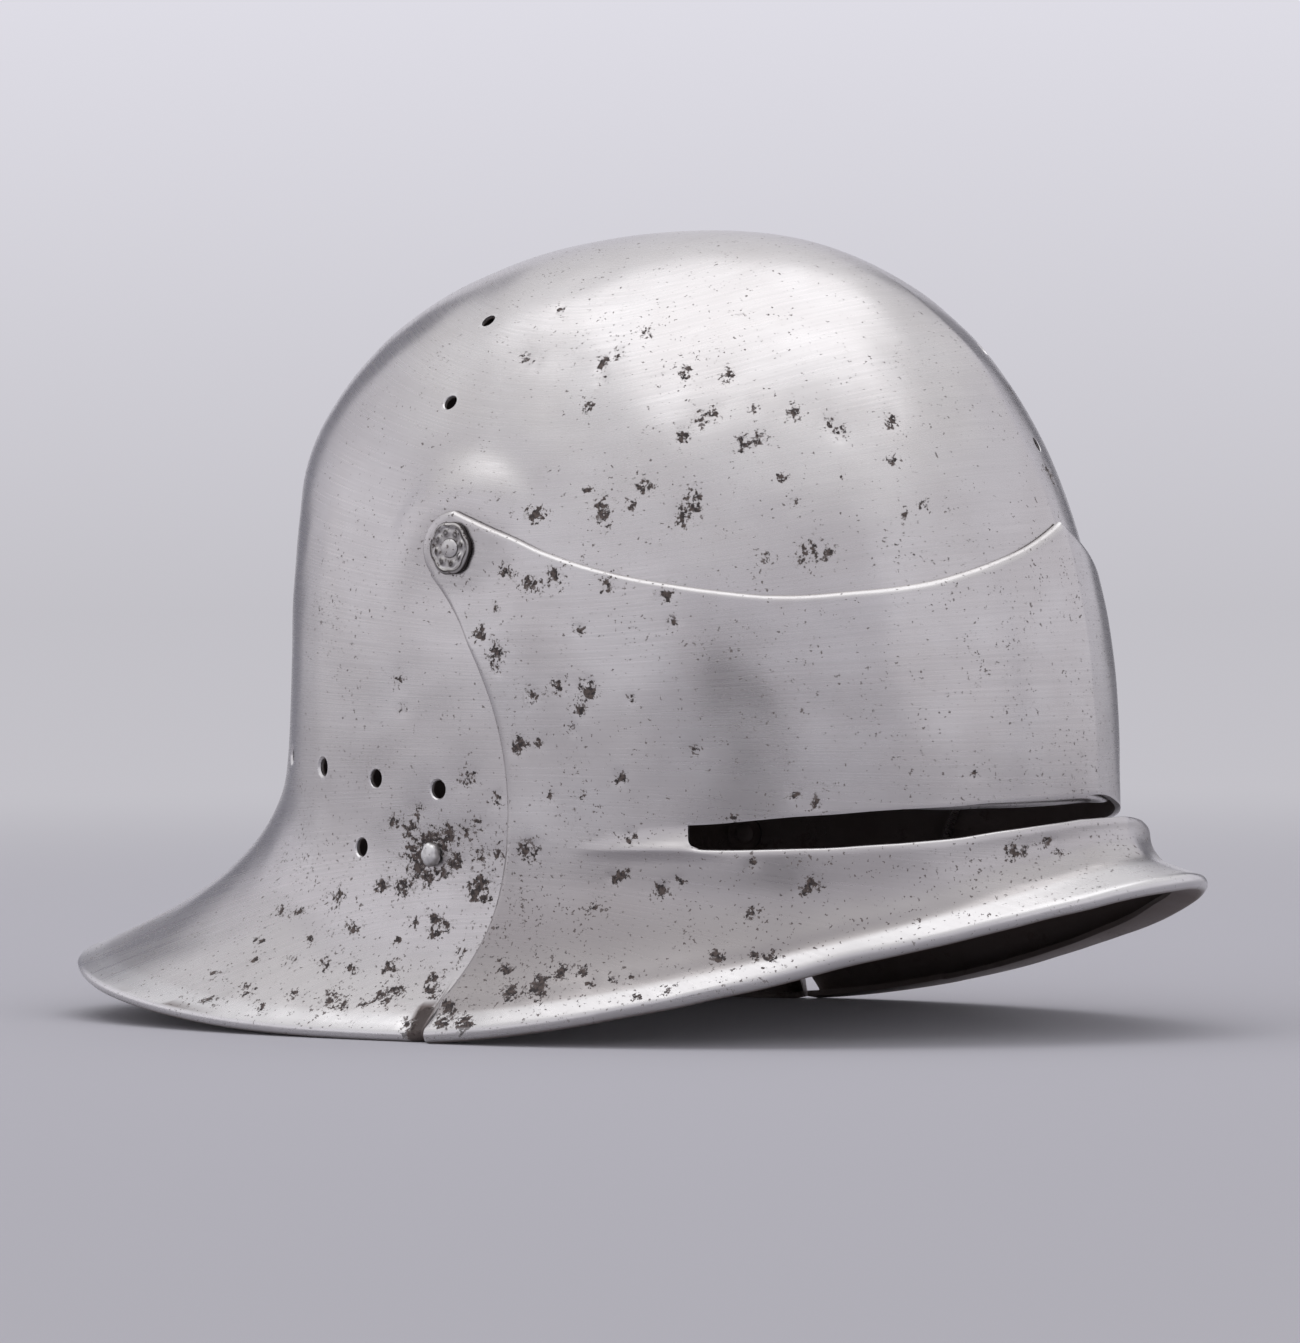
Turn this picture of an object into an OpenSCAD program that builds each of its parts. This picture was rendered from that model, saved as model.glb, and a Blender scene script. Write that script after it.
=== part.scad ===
// A sallet with a pivoting visor: a one-piece skull with a swept tail, and a visor
// with a stepped sight slit that turns on two rivets at the temples.
// +X is the front, +Y the wearer's left and +Z up. The origin lies on the surface that
// the rim touches, under the middle of the helmet's length.

/* [Skull] */
// Height of the crown above the lowest point of the rim
skull_h = 250; // [242:1:258]
// Reach of the skull ahead of the crown axis
skull_front = 140; // [136:1:145]
// Reach of the skull behind the crown axis, above the neck
skull_back = 129.4; // [124:0.2:134]
// Half width of the skull at its widest
skull_half_w = 98.8; // [95:0.2:103]
// Thickness of the skull plate
skull_t = 1.8; // [1.4:0.1:2.2]
// Height of the low ridge down the middle of the brow
keel_h = 4; // [2:0.5:5]
// Lean of the crown toward the front
crown_lean = 7; // [3:1:9]

/* [Rim] */
// Reach of the tail tip behind the crown axis
tail_reach = 206.3; // [198:0.1:212]
// Height of the tail tip above the lowest point of the rim
tail_tip_h = 19.4; // [15:0.2:24]
// Height over which the tail sweeps out
tail_flare_h = 88; // [82:1:94]
// Half width of the rim at its widest
rim_half_w = 119; // [115:0.5:123]
// Height over which the sides sweep out
side_flare_h = 58; // [52:1:62]
// Width of the edge that is turned in round the tail
tail_edge_w = 3; // [2:0.5:5]

/* [Visor] */
// Reach of the visor rim ahead of the crown axis
visor_reach = 177; // [172:1:182]
// Height of the rim at the front above its lowest point
visor_rim_h = 46; // [40:1:50]
// Thickness of the visor plate
visor_t = 1.8; // [1.4:0.1:2.2]
// Clearance between the skull and the visor that slides over it
visor_gap = 1.2; // [1:0.1:1.6]
// Height of the visor's top edge at its lowest, over the eyes
visor_top_h = 134.8; // [130:0.2:140]
// Rise of the top edge to its point at the middle of the brow
visor_peak_h = 22; // [16:1:26]
// Width of the flange that is turned in round the visor rim
visor_flange_w = 8; // [5:0.5:10]
// How far the rear edge bulges forward of the pivots
rear_bulge = 22.2; // [20:0.2:26]
// Height of the rear edge's furthest point forward
rear_bulge_h = 70; // [66:1:76]

/* [Sight] */
// Height of the sight's upper edge under the pivots
sight_h = 59.7; // [57:0.1:62]
// Rise of the sight toward the front
sight_tilt = 4.5; // [3.5:0.1:5.5]
// Height of the skull's level edge over the face, which shows through the sight
brow_h = 70.3; // [69.5:0.1:71.5]
// Height of the lower lip at the sides
lip_h = 59; // [56:0.2:60]
// Rise of the lower lip toward the front
lip_rise = 7.5; // [5:0.5:8.5]
// How far the lower lip stands out at the front
lip_step = 9.5; // [7:0.5:11]
// Azimuth of the ends of the sight from the front
sight_end = 58.8; // [54:0.2:62]

/* [Pivots] */
// Distance of the pivots behind the crown axis
pivot_back = 24.8; // [22:0.2:27]
// Height of the pivots
pivot_h = 149.5; // [146:0.5:152]
// Radius of the visor's round ends at the pivots
lobe_r = 11.5; // [10.5:0.5:13]
// Radius of the pivot rivets
pivot_r = 2.6; // [2:0.1:3.2]
// Radial clearance of the pivot rivets in the visor
pivot_fit = 0.05; // [0.03:0.01:0.1]
// Radius of the rosette washers
rosette_r = 8.4; // [7.5:0.1:9]
// Number of bosses round each rosette
rosette_bosses = 8; // [6:1:10]
// Thickness of the rosette plates
rosette_t = 1.4; // [1:0.1:2]

/* [Lining holes] */
// Radius of the lining rivet holes round the neck
neck_hole_r = 2.8; // [2:0.1:3.2]
// Azimuth of the foremost neck hole from the front
neck_hole_az = 107; // [104:0.5:110]
// Number of gaps between the neck holes on each side
neck_hole_gaps = 5; // [4:1:6]
// Height of the foremost neck hole
neck_hole_h = 75.8; // [72:0.2:80]
// Rise of the neck holes toward the back
neck_hole_rise = 15; // [10:0.5:18]
// Radius of the crown holes
crown_hole_r = 2.4; // [1.8:0.1:3]

/* [Strap rivets] */
// Distance of the strap rivets behind the pivots
strap_back = 6.6; // [4:0.2:9]
// Height of the strap rivets
strap_h = 55.9; // [52:0.1:60]
// Radius of the strap rivet shanks
strap_r = 2.2; // [1.6:0.1:2.8]
// Radius of the strap rivet heads
strap_head_r = 3.6; // [3:0.1:4.5]

/* [Hidden] */

// Exponents of the plan and of the front, back and side profiles of the dome
plan_n = 2.2;
front_n = 2.27;
back_n = 2.1;
side_n = 2.03;
// Heights at which the front, back and side profiles start to close over the head
front_spring_h = 69;
back_spring_h = 166;
side_spring_h = 104;
// The keel: how sharply it gathers to the middle, and its share at the back
keel_n = 6;
keel_spring_h = 60;
keel_back = 0.3;
lean_from_h = 80;
// The rim: exponents of its plan and of its rise to the front and to the tail
rim_front_n = 1.7;
rim_back_n = 2.5;
rim_rise_front = 1.58;
rim_rise_back = 2.63;
flare_n = 3;
front_flare_h = 16;
// The gap under the visor widens by this share of the offset toward the rim
flare_gap_share = 0.3;
// The lowest point of the rim lies this far behind the crown axis
rim_low_back = 27.7;

// Places that follow from the driving sizes
// The visor's fold stands out further than the tail's by fold_extra
fold_extra = 0.6;
axis_x = (tail_reach - visor_reach - fold_extra) / 2;
pivot_x = axis_x - pivot_back;
visor_off = visor_gap + visor_t;
front_rim_reach = visor_reach - visor_off * (1 + flare_gap_share);
rim_low_x = axis_x - rim_low_back;

// The turned edges: the outer radius of their bends, which leaves a little room inside the
// fold, and the height of a fold, from its lower face to where the plate starts to bend
tail_bend_r = skull_t + 0.3;
visor_bend_r = visor_t + 0.8;
bend_steps = 4;
tail_fold_h = 1.72 * tail_bend_r;
visor_fold_h = 1.59 * visor_bend_r;
// Rise of the skull's edge over the rim line under the visor, which clears the flange
skull_edge_rise = 8.8;
cheek_rise = 5;
cheek_rise_x = 30;
// Gap between the tail and the visor's rear corners, the length of skull that is notched
// there, and the azimuths between which the cheek edge rises to the brow
notch_gap = 6.2;
notch_l = 4.2;
notch_margin = 0.45;
notch_rise = 1.6;
cut_over = 1;
cheek_az = 72;
brow_az = 58;
rear_corner_x = 6.6;
notch_x = rear_corner_x - notch_gap;
rear_r_over = 82;
rear_r_under = 100;

// The top edge of the visor: azimuths where its point ends and where it climbs to the lobes
peak_az = 44;
climb_az = 46;
climb_n = 1.6;
// Azimuth where the lip begins to stand out
step_az = 74;
step_n = 1.3;
lip_curve_x = 58;
lip_n = 3;

// Around the pivots both plates are beaten flat, so that they turn on each other
flat_r = 12.5;
flat_fade_r = 40;

// Rows and columns of the shells
dome_rows = 11;
side_rows = 10;
dome_end_h = 110;
front_cols = 20;
back_cols = 16;
lobe_rows = 6;
band_rows = 8;
ledge_rows = 2;
lower_rows = 7;
sight_cols = 13;
side_cols = 11;

// Small parts at the pivots
seat_gap = 0.3;
rosette_rim_w = 1.1;
rosette_rim_h = 0.9;
boss_r = 1.25;
boss_ring_r = 4.9;
pivot_head_r = 3.1;
pivot_head_h = 1.7;
pivot_washer_r = 8;
pivot_washer_t = 1.4;
peen_r = 4;
peen_h = 1.3;
strap_stub_h = 3.4;
strap_washer_r = 6;
strap_washer_t = 1.2;
crown_holes = [[10.5, 211], [6.5, 181], [-119.5, 195], [-126.5, 221], [119.5, 195], [126.5, 221]];
tab_hole_az = 125;
tab_hole_h = 57.4;
step_small = 0.5;

function clamp01(v) = min(1, max(0, v));
function smooth(v) = let (t = clamp01(v)) t * t * (3 - 2 * t);
function mix(a, b, t) = a + (b - a) * t;
function unit(v) = v / norm(v);

// Polar radius of an oval with half axes a and b and exponent n
function oval(a, b, n, az) = pow(pow(abs(cos(az)) / a, n) + pow(abs(sin(az)) / b, n), -1 / n);

// Share of a profile's full reach that is left at height z
function dome(z, spring_h, n) =
    let (t = clamp01((z - spring_h) / (skull_h - spring_h)))
    pow(max(0, 1 - pow(t, n)), 1 / n);

function ridge(z, az) =
    keel_h * pow(1 - abs(sin(az)), keel_n) * dome(z, keel_spring_h, 2)
    * (abs(az) < 90 ? 1 : keel_back);

// Radius of the bare bowl about the crown axis
function bowl_r(z, az) =
    let (w = max(0.01, skull_half_w * dome(z, side_spring_h, side_n)))
    let (a = abs(az) < 90
        ? skull_front * dome(z, front_spring_h, front_n)
        : skull_back * dome(z, back_spring_h, back_n))
    oval(max(0.01, a), w, plan_n, az) + ridge(z, az);

// Plan and height of the rim line
function rim_r(az) = abs(az) < 90
    ? oval(front_rim_reach, rim_half_w, rim_front_n, az)
    : oval(tail_reach, rim_half_w, rim_back_n, az);

function rim_z(az) =
    let (x = axis_x + rim_r(az) * cos(az))
    x > rim_low_x
        ? visor_rim_h * pow((x - rim_low_x) / (axis_x + front_rim_reach - rim_low_x), rim_rise_front)
        : tail_tip_h * pow((rim_low_x - x) / (rim_low_x - axis_x + tail_reach), rim_rise_back);

// Height where the plate ends and its turned edge starts
function edge_z(az) =
    let (x = axis_x + rim_r(az) * cos(az))
    rim_z(az) + (x > pivot_x + notch_x + notch_l / 2 ? visor_fold_h : tail_fold_h);

function flare_h(az) =
    mix(side_flare_h, abs(az) < 90 ? front_flare_h : tail_flare_h, pow(cos(az), 2));

// Radius of the helmet's form, moved out by off and, below the sight, by step
function form_r(z, az, off = 0, step = 0) =
    let (low = edge_z(az), s = max(0, min(1.1, 1 - (z - low) / flare_h(az))))
    bowl_r(z, az) + off * (1 + flare_gap_share * s * s) + step
        + (rim_r(az) - bowl_r(low, az) - step) * pow(s, flare_n);

function axis_at(z) =
    axis_x + crown_lean * pow(clamp01((z - lean_from_h) / (skull_h - lean_from_h)), 2);

// Half width of the flat seats at the pivots
pivot_az = az_at(0, pivot_h);
pivot_y = form_r(pivot_h, pivot_az) * sin(pivot_az);

function flattened(p, off) =
    let (d = norm([p.x - pivot_x, p.z - pivot_h]))
    let (w = smooth((flat_fade_r - d) / (flat_fade_r - flat_r)))
    [p.x, mix(p.y, sign(p.y) * (pivot_y + off), w), p.z];

function form_point(z, az, off = 0, step = 0) =
    let (r = form_r(z, az, off, step))
    flattened([axis_at(z) + r * cos(az), r * sin(az), z], off);

// Outward normal from two tangents, one along the azimuth and one up the plate
function normal_of(along, up) = unit(cross(along, up));

function skull_normal(z, az) = z > skull_h - 0.01 ? [0, 0, 1] :
    normal_of(
        form_point(z, az + step_small) - form_point(z, az - step_small),
        form_point(min(z + step_small, skull_h), az) - form_point(z - step_small, az)
    );

// A point of a turned edge: the plate ends at p, heading along t with its normal n outward,
// and turns in on the radius r until it lies level, then runs on for w. k counts the
// points; depth is 0 on the outside and the plate's thickness on the inside.
function edge_point(p, t, n, r, w, k, depth) =
    let (turn = 180 - asin(-t.z), a = turn * min(k, bend_steps) / bend_steps)
    let (arc = p - r * n + (r - depth) * (n * cos(a) + t * sin(a)))
    k <= bend_steps ? arc : arc + w * (t * cos(a) - n * sin(a));

// Height of the skull's edge under the visor
function wall_x(az) = axis_x + bowl_r(0, az) * cos(az);
function sight_z(az) = sight_h + tan(sight_tilt) * (wall_x(az) - pivot_x);
function cheek_z(az) =
    let (r = pivot_h - skull_edge_rise, d = min(r * 0.8, wall_x(az) - pivot_x))
    pivot_h - sqrt(r * r - d * d) + cheek_rise * clamp01(d / cheek_rise_x);
function skull_edge_z(az) =
    mix(brow_h, cheek_z(az), smooth((abs(az) - brow_az) / (cheek_az - brow_az)));

// Azimuth of the point at height z that lies dx ahead of the pivots
function az_guess(dx, z, off, az) =
    atan2(form_r(z, az, off) * sin(az), pivot_x + dx - axis_at(z));
function az_at(dx, z, off = 0) =
    az_guess(dx, z, off, az_guess(dx, z, off, az_guess(dx, z, off, 96)));

// Columns of the skull just inside the two ends of the notch
notch_front_az = az_at(notch_x + notch_l - notch_margin, 0);
notch_back_az = az_at(notch_x + notch_margin, 0);

// Columns of the skull, all round
half_cols = concat(
    [for (i = [0:front_cols]) notch_front_az * i / front_cols],
    [for (i = [0:back_cols]) mix(notch_back_az, 180, i / back_cols)]
);
skull_cols = concat(
    half_cols,
    [for (i = [len(half_cols) - 2:-1:1]) -half_cols[i]]
);
skull_rows = dome_rows + side_rows + bend_steps + 1;

function under_visor(az) = abs(az) <= notch_front_az + 0.01;
function skull_low_z(az) = under_visor(az)
    ? skull_edge_z(az) + tail_fold_h
    : edge_z(az);

function skull_point(k, az, depth) =
    let (low = skull_low_z(az))
    let (z = k <= dome_rows
        ? skull_h - (skull_h - dome_end_h) * pow(k / dome_rows, 2)
        : mix(dome_end_h, low, pow(min(k - dome_rows, side_rows) / side_rows, 0.85)))
    let (p = form_point(z, az), n = skull_normal(z, az))
    let (over = k - dome_rows - side_rows)
    over <= 0 ? p - depth * n :
        let (t = unit(p - form_point(z + step_small, az)))
        edge_point(p, t, n, tail_bend_r, tail_edge_w, over, depth);

// The visor's rear edge, as a distance ahead of the pivots
function rear_x(z) =
    let (d = z - rear_bulge_h)
    max(rear_corner_x, rear_bulge - d * d / (2 * (d > 0 ? rear_r_over : rear_r_under)));
lobe_end = 226;
lobe_share = 0.4;
function rear_edge(v) =
    let (a = mix(90, lobe_end, v / lobe_share))
    let (join_z = pivot_h + lobe_r * sin(lobe_end))
    let (end_z = sight_h + tan(sight_tilt) * rear_bulge)
    let (z = v < lobe_share
        ? pivot_h + lobe_r * sin(a)
        : mix(join_z, end_z, (v - lobe_share) / (1 - lobe_share)))
    let (d = z - rear_bulge_h)
    let (dx = v < lobe_share ? lobe_r * cos(a) : rear_bulge - d * d / (2 * rear_r_over))
    [az_at(dx, z, visor_off), z];

lobe_top = rear_edge(0);
function visor_top(s) =
    let (az = s * lobe_top.x)
    let (point = visor_peak_h * pow(max(0, 1 - az / peak_az), 2))
    let (climb = pow(max(0, (az - climb_az) / (lobe_top.x - climb_az)), climb_n))
    [az, visor_top_h + point + (lobe_top.y - visor_top_h) * climb];

function lip_z(az) =
    lip_h + lip_rise * pow(clamp01((wall_x(az) - pivot_x - lip_curve_x - pivot_back)
        / (axis_x + skull_front - pivot_x - lip_curve_x - pivot_back)), lip_n);
function lip_out(az) = lip_step * pow(max(0, cos(min(90, 90 * az / step_az))), step_n);

// Azimuth and height on the visor: s runs from the front to the rear edge, v from the top
// edge at 0 over the sight at 1 and the lip at 2 to the rim at 3
band_end = rear_edge(1);
function band_point(s, v) =
    let (front = [0, mix(visor_top(0).y, sight_z(0), v)])
    let (low = [s * band_end.x, sight_z(s * band_end.x)])
    (1 - s) * front + s * rear_edge(v) + (1 - v) * visor_top(s) + v * low
    - ((1 - s) * ((1 - v) * visor_top(0) + v * [0, sight_z(0)])
        + s * ((1 - v) * lobe_top + v * band_end));

function low_az(s, z) = s * az_at(rear_x(z), z, visor_off);
function below_band(s, v) =
    let (a0 = s * band_end.x)
    v < 2
        ? [a0, mix(sight_z(a0), lip_z(a0), v - 1)]
        : let (z0 = mix(lip_z(a0), edge_z(a0), v - 2))
            let (az = low_az(s, z0))
            [az, mix(lip_z(az), edge_z(az), v - 2)];

function visor_surface(s, v) =
    let (h = abs(s), q = v <= 1 ? band_point(h, v) : below_band(h, v))
    let (out = v <= 1 ? 0 : lip_out(q.x) * smooth(v - 1))
    form_point(q.y, (s < 0 ? -1 : 1) * q.x, visor_off, out);

ds = 0.01;
dv = 0.02;
function visor_normal(s, v) =
    let (v0 = v >= 2 ? max(2, v - dv) : max(0, v - dv))
    let (v1 = v <= 1 ? min(1, v + dv) : min(3, v + dv))
    let (s0 = max(-1, s - ds), s1 = min(1, s + ds))
    normal_of(visor_surface(s1, v) - visor_surface(s0, v), visor_surface(s, v0) - visor_surface(s, v1));

band_steps = lobe_rows + band_rows;
visor_rows = band_steps + ledge_rows + lower_rows + bend_steps + 1;
function row_v(k) =
    k <= lobe_rows ? lobe_share * k / lobe_rows :
    k <= band_steps ? mix(lobe_share, 1, (k - lobe_rows) / band_rows) :
    k <= band_steps + ledge_rows ? 1 + (k - band_steps) / ledge_rows :
    2 + min(1, (k - band_steps - ledge_rows) / lower_rows);

sight_s = sight_end / band_end.x;
half_s = concat(
    [for (i = [0:sight_cols]) sight_s * i / sight_cols],
    [for (i = [1:side_cols]) mix(sight_s, 1, 1 - pow(1 - i / side_cols, 1.3))]
);
visor_cols = concat([for (i = [len(half_s) - 1:-1:1]) -half_s[i]], half_s);

function visor_point(k, s, depth) =
    let (v = row_v(k), p = visor_surface(s, v), n = visor_normal(s, v))
    let (over = k - (visor_rows - bend_steps - 1))
    over <= 0 ? p - depth * n :
        let (t = unit(p - visor_surface(s, v - dv)))
        edge_point(p, t, n, visor_bend_r, visor_flange_w, over, depth);

// Two triangles over the corners a, b, c, d
function quad(a, b, c, d) = [[a, b, c], [a, c, d]];
function flat(lists) = [for (l = lists) each l];

// A shell that closes over a crown: rows of points below one apex, all round
module crowned_shell(rows, cols, apex_out, apex_in, point) {
    n = len(cols);
    outer = [for (k = [1:rows], az = cols) point(k, az, 0)];
    inner = [for (k = [1:rows], az = cols) point(k, az, skull_t)];
    in0 = rows * n;
    top_out = 2 * rows * n;
    top_in = top_out + 1;
    faces = concat(
        [for (j = [0:n - 1]) [top_out, (j + 1) % n, j]],
        [for (j = [0:n - 1]) [top_in, in0 + j, in0 + (j + 1) % n]],
        flat([for (k = [0:rows - 2], j = [0:n - 1])
            let (a = k * n + j, b = k * n + (j + 1) % n)
            concat(quad(a, b, b + n, a + n), quad(in0 + b, in0 + a, in0 + a + n, in0 + b + n))]),
        flat([for (j = [0:n - 1])
            let (a = (rows - 1) * n + j, b = (rows - 1) * n + (j + 1) % n)
            quad(a, b, in0 + b, in0 + a)])
    );
    polyhedron(concat(outer, inner, [apex_out, apex_in]), faces);
}

// A shell over a grid of points with open edges and a slit
module sheet_shell(rows, cols, t, slit_row0, slit_row1, slit_s, point) {
    n = len(cols);
    outer = [for (k = [0:rows], s = cols) point(k, s, 0)];
    inner = [for (k = [0:rows], s = cols) point(k, s, t)];
    in0 = (rows + 1) * n;
    j0 = [for (j = [0:n - 1]) if (abs(cols[j] + slit_s) < 0.0001) j][0];
    j1 = n - 1 - j0;
    function open(k, j) = k >= slit_row0 && k < slit_row1 && j >= j0 && j < j1;
    function wall(a, b) = quad(in0 + a, in0 + b, b, a);
    faces = concat(
        flat([for (k = [0:rows - 1], j = [0:n - 2]) if (!open(k, j))
            let (a = k * n + j)
            concat(quad(a, a + 1, a + n + 1, a + n),
                quad(in0 + a, in0 + a + n, in0 + a + n + 1, in0 + a + 1))]),
        flat([for (j = [0:n - 2]) wall(j, j + 1)]),
        flat([for (j = [0:n - 2]) wall(rows * n + j + 1, rows * n + j)]),
        flat([for (k = [0:rows - 1]) wall((k + 1) * n, k * n)]),
        flat([for (k = [0:rows - 1]) wall(k * n + n - 1, (k + 1) * n + n - 1)]),
        flat([for (j = [j0:j1 - 1]) wall(slit_row1 * n + j, slit_row1 * n + j + 1)]),
        flat([for (j = [j0:j1 - 1]) wall(slit_row0 * n + j + 1, slit_row0 * n + j)]),
        flat([for (k = [slit_row0:slit_row1 - 1]) wall((k + 1) * n + j1, k * n + j1)]),
        flat([for (k = [slit_row0:slit_row1 - 1]) wall(k * n + j0, (k + 1) * n + j0)])
    );
    polyhedron(concat(outer, inner), faces);
}

// Moves the children to a place on the skull, with +Z along its normal
module on_skull(z, az) {
    n = skull_normal(z, az);
    translate(form_point(z, az)) rotate([0, acos(n.z), atan2(n.y, n.x)]) children();
}

// Moves the children to a pivot, with +Z outward from the skull's outer face; side is 1
// on the wearer's left and -1 on the right
module at_pivot(side) {
    translate([pivot_x, side * pivot_y, pivot_h]) rotate([-side * 90, 0, 0]) children();
}

module hole(r) {
    translate([0, 0, -4 * skull_t]) cylinder(h = 7 * skull_t, r = r, $fn = 32);
}

function neck_az(i) = mix(neck_hole_az, 180, i / neck_hole_gaps);
function neck_z(i) = neck_hole_h + neck_hole_rise * i / neck_hole_gaps;
strap_az = az_at(-strap_back, strap_h);

// The notch at the side, where the tail ends and the visor's rear corner hangs
module notch() {
    translate([pivot_x + notch_x, skull_half_w, -cut_over])
    cube([notch_l, rim_half_w - skull_half_w + tail_reach, skull_edge_rise + notch_rise + cut_over]);
}

module skull() {
    color("lightslategray")
    difference() {
        crowned_shell(
            skull_rows, skull_cols,
            form_point(skull_h, 0), form_point(skull_h, 0) - [0, 0, skull_t],
            function (k, az, depth) skull_point(k, az, depth)
        );
        for (side = [-1, 1]) {
            at_pivot(side) hole(pivot_r + pivot_fit);
            on_skull(strap_h, side * strap_az) hole(strap_r + pivot_fit);
            on_skull(tab_hole_h, side * tab_hole_az) hole(neck_hole_r);
            for (i = [0:neck_hole_gaps - 1]) on_skull(neck_z(i), side * neck_az(i)) hole(neck_hole_r);
        }
        on_skull(neck_z(neck_hole_gaps), 180) hole(neck_hole_r);
        for (h = crown_holes) on_skull(h[1], h[0]) hole(crown_hole_r);
        for (side = [0, 1]) mirror([0, side, 0]) notch();
    }
}

module visor() {
    color("silver")
    difference() {
        sheet_shell(
            visor_rows, visor_cols, visor_t, band_steps, band_steps + ledge_rows, sight_s,
            function (k, s, depth) visor_point(k, s, depth)
        );
        for (side = [-1, 1]) at_pivot(side) hole(pivot_r + pivot_fit);
    }
}

// The hole through a small piece of height h that a rivet of radius r runs in
module bore(h, r) {
    translate([0, 0, -cut_over]) cylinder(h = h + 2 * cut_over, r = r + pivot_fit, $fn = 32);
}

// A round washer with a raised rim and a ring of bosses, cut by the rivet's hole
module pivot_rosette(side) {
    color("darkgray")
    at_pivot(side) translate([0, 0, visor_off + seat_gap]) difference() {
        union() {
            cylinder(h = rosette_t, r = rosette_r, $fn = 48);
            rotate_extrude($fn = 48)
            translate([rosette_r - rosette_rim_w, 0])
            square([rosette_rim_w, rosette_t + rosette_rim_h]);
            for (i = [0:rosette_bosses - 1])
                rotate([0, 0, 360 * i / rosette_bosses]) translate([boss_ring_r, 0, 0])
                cylinder(h = rosette_t + rosette_rim_h, r = boss_r, $fn = 20);
        }
        bore(rosette_t + rosette_rim_h, pivot_r);
    }
}

// A rivet from its head on the rosette to the peened end on the inner washer
module pivot_rivet(side) {
    head_z = visor_off + seat_gap + rosette_t;
    end_z = -skull_t - seat_gap - pivot_washer_t;
    color("gray")
    at_pivot(side) rotate_extrude($fn = 48) polygon(concat(
        [[0, end_z - peen_h], [peen_r * 0.6, end_z - peen_h], [peen_r, end_z]],
        [[pivot_r, end_z], [pivot_r, head_z], [pivot_head_r, head_z]],
        [for (a = [0:15:90]) [pivot_head_r * cos(a), head_z + pivot_head_h * sin(a)]]
    ));
}

module pivot_washer(side) {
    color("dimgray")
    at_pivot(side) translate([0, 0, -skull_t - seat_gap - pivot_washer_t]) difference() {
        cylinder(h = pivot_washer_t, r = pivot_washer_r, $fn = 48);
        bore(pivot_washer_t, pivot_r);
    }
}

// A strap rivet with a worn stub of a head
module strap_rivet(side) {
    end_z = -skull_t - seat_gap - strap_washer_t;
    color("gainsboro")
    on_skull(strap_h, side * strap_az) rotate_extrude($fn = 40) polygon(concat(
        [[0, end_z - peen_h], [strap_head_r * 0.5, end_z - peen_h], [strap_head_r * 0.9, end_z]],
        [[strap_r, end_z], [strap_r, seat_gap], [strap_head_r, seat_gap]],
        [for (a = [0:15:90])
            [mix(strap_head_r * 0.5, strap_head_r, cos(a)) * (a < 90 ? 1 : 0),
                seat_gap + strap_stub_h * mix(0.45, 1, sin(a))]]
    ));
}

module strap_washer(side) {
    color("dimgray")
    on_skull(strap_h, side * strap_az) translate([0, 0, -skull_t - seat_gap - strap_washer_t]) difference() {
        cylinder(h = strap_washer_t, r = strap_washer_r, $fn = 48);
        bore(strap_washer_t, strap_r);
    }
}

skull();
visor();
pivot_rosette(-1);  // pivot_rosette_right
pivot_rosette(1);  // pivot_rosette_left
pivot_rivet(-1);  // pivot_rivet_right
pivot_rivet(1);  // pivot_rivet_left
pivot_washer(-1);  // pivot_washer_right
pivot_washer(1);  // pivot_washer_left
strap_rivet(-1);  // strap_rivet_right
strap_rivet(1);  // strap_rivet_left
strap_washer(-1);  // strap_washer_right
strap_washer(1);  // strap_washer_left
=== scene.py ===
# A sallet with a pivoting visor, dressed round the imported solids.
# Lengths of the form are in millimetres, as in the part's source, and MM turns them into metres.
import math

import bmesh
import bpy
import numpy as np
from mathutils import Matrix


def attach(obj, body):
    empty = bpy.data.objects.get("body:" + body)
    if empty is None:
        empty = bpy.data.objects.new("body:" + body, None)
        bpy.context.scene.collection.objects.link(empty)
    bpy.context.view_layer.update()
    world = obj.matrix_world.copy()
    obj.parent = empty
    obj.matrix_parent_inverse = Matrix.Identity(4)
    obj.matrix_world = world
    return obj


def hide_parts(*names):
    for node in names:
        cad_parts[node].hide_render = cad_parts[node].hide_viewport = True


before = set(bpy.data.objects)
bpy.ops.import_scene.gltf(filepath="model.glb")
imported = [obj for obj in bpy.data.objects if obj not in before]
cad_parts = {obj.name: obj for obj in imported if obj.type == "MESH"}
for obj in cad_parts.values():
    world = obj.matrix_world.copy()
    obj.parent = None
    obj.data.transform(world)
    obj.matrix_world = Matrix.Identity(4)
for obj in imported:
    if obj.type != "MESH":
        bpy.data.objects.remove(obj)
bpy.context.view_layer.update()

MM = 0.001
SKULL_BODY = "skull_assembly"
VISOR_BODY = "visor_assembly"
SIDE_NAMES = {-1: "right", 1: "left"}

# Sizes of the skull
SKULL_H = 250
SKULL_FRONT = 140
SKULL_BACK = 129.4
SKULL_HALF_W = 98.8
SKULL_T = 1.8
KEEL_H = 4
CROWN_LEAN = 7
PLAN_N = 2.2
FRONT_N = 2.27
BACK_N = 2.1
SIDE_N = 2.03
FRONT_SPRING_H = 69
BACK_SPRING_H = 166
SIDE_SPRING_H = 104
KEEL_N = 6
KEEL_SPRING_H = 60
KEEL_BACK = 0.3
LEAN_FROM_H = 80

# Sizes of the rim
TAIL_REACH = 206.3
TAIL_TIP_H = 19.4
TAIL_FLARE_H = 88
RIM_HALF_W = 119
SIDE_FLARE_H = 58
FRONT_FLARE_H = 16
TAIL_EDGE_W = 3
RIM_FRONT_N = 1.7
RIM_BACK_N = 2.5
RIM_RISE_FRONT = 1.58
RIM_RISE_BACK = 2.63
FLARE_N = 3
FLARE_GAP_SHARE = 0.3
RIM_LOW_BACK = 27.7

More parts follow.
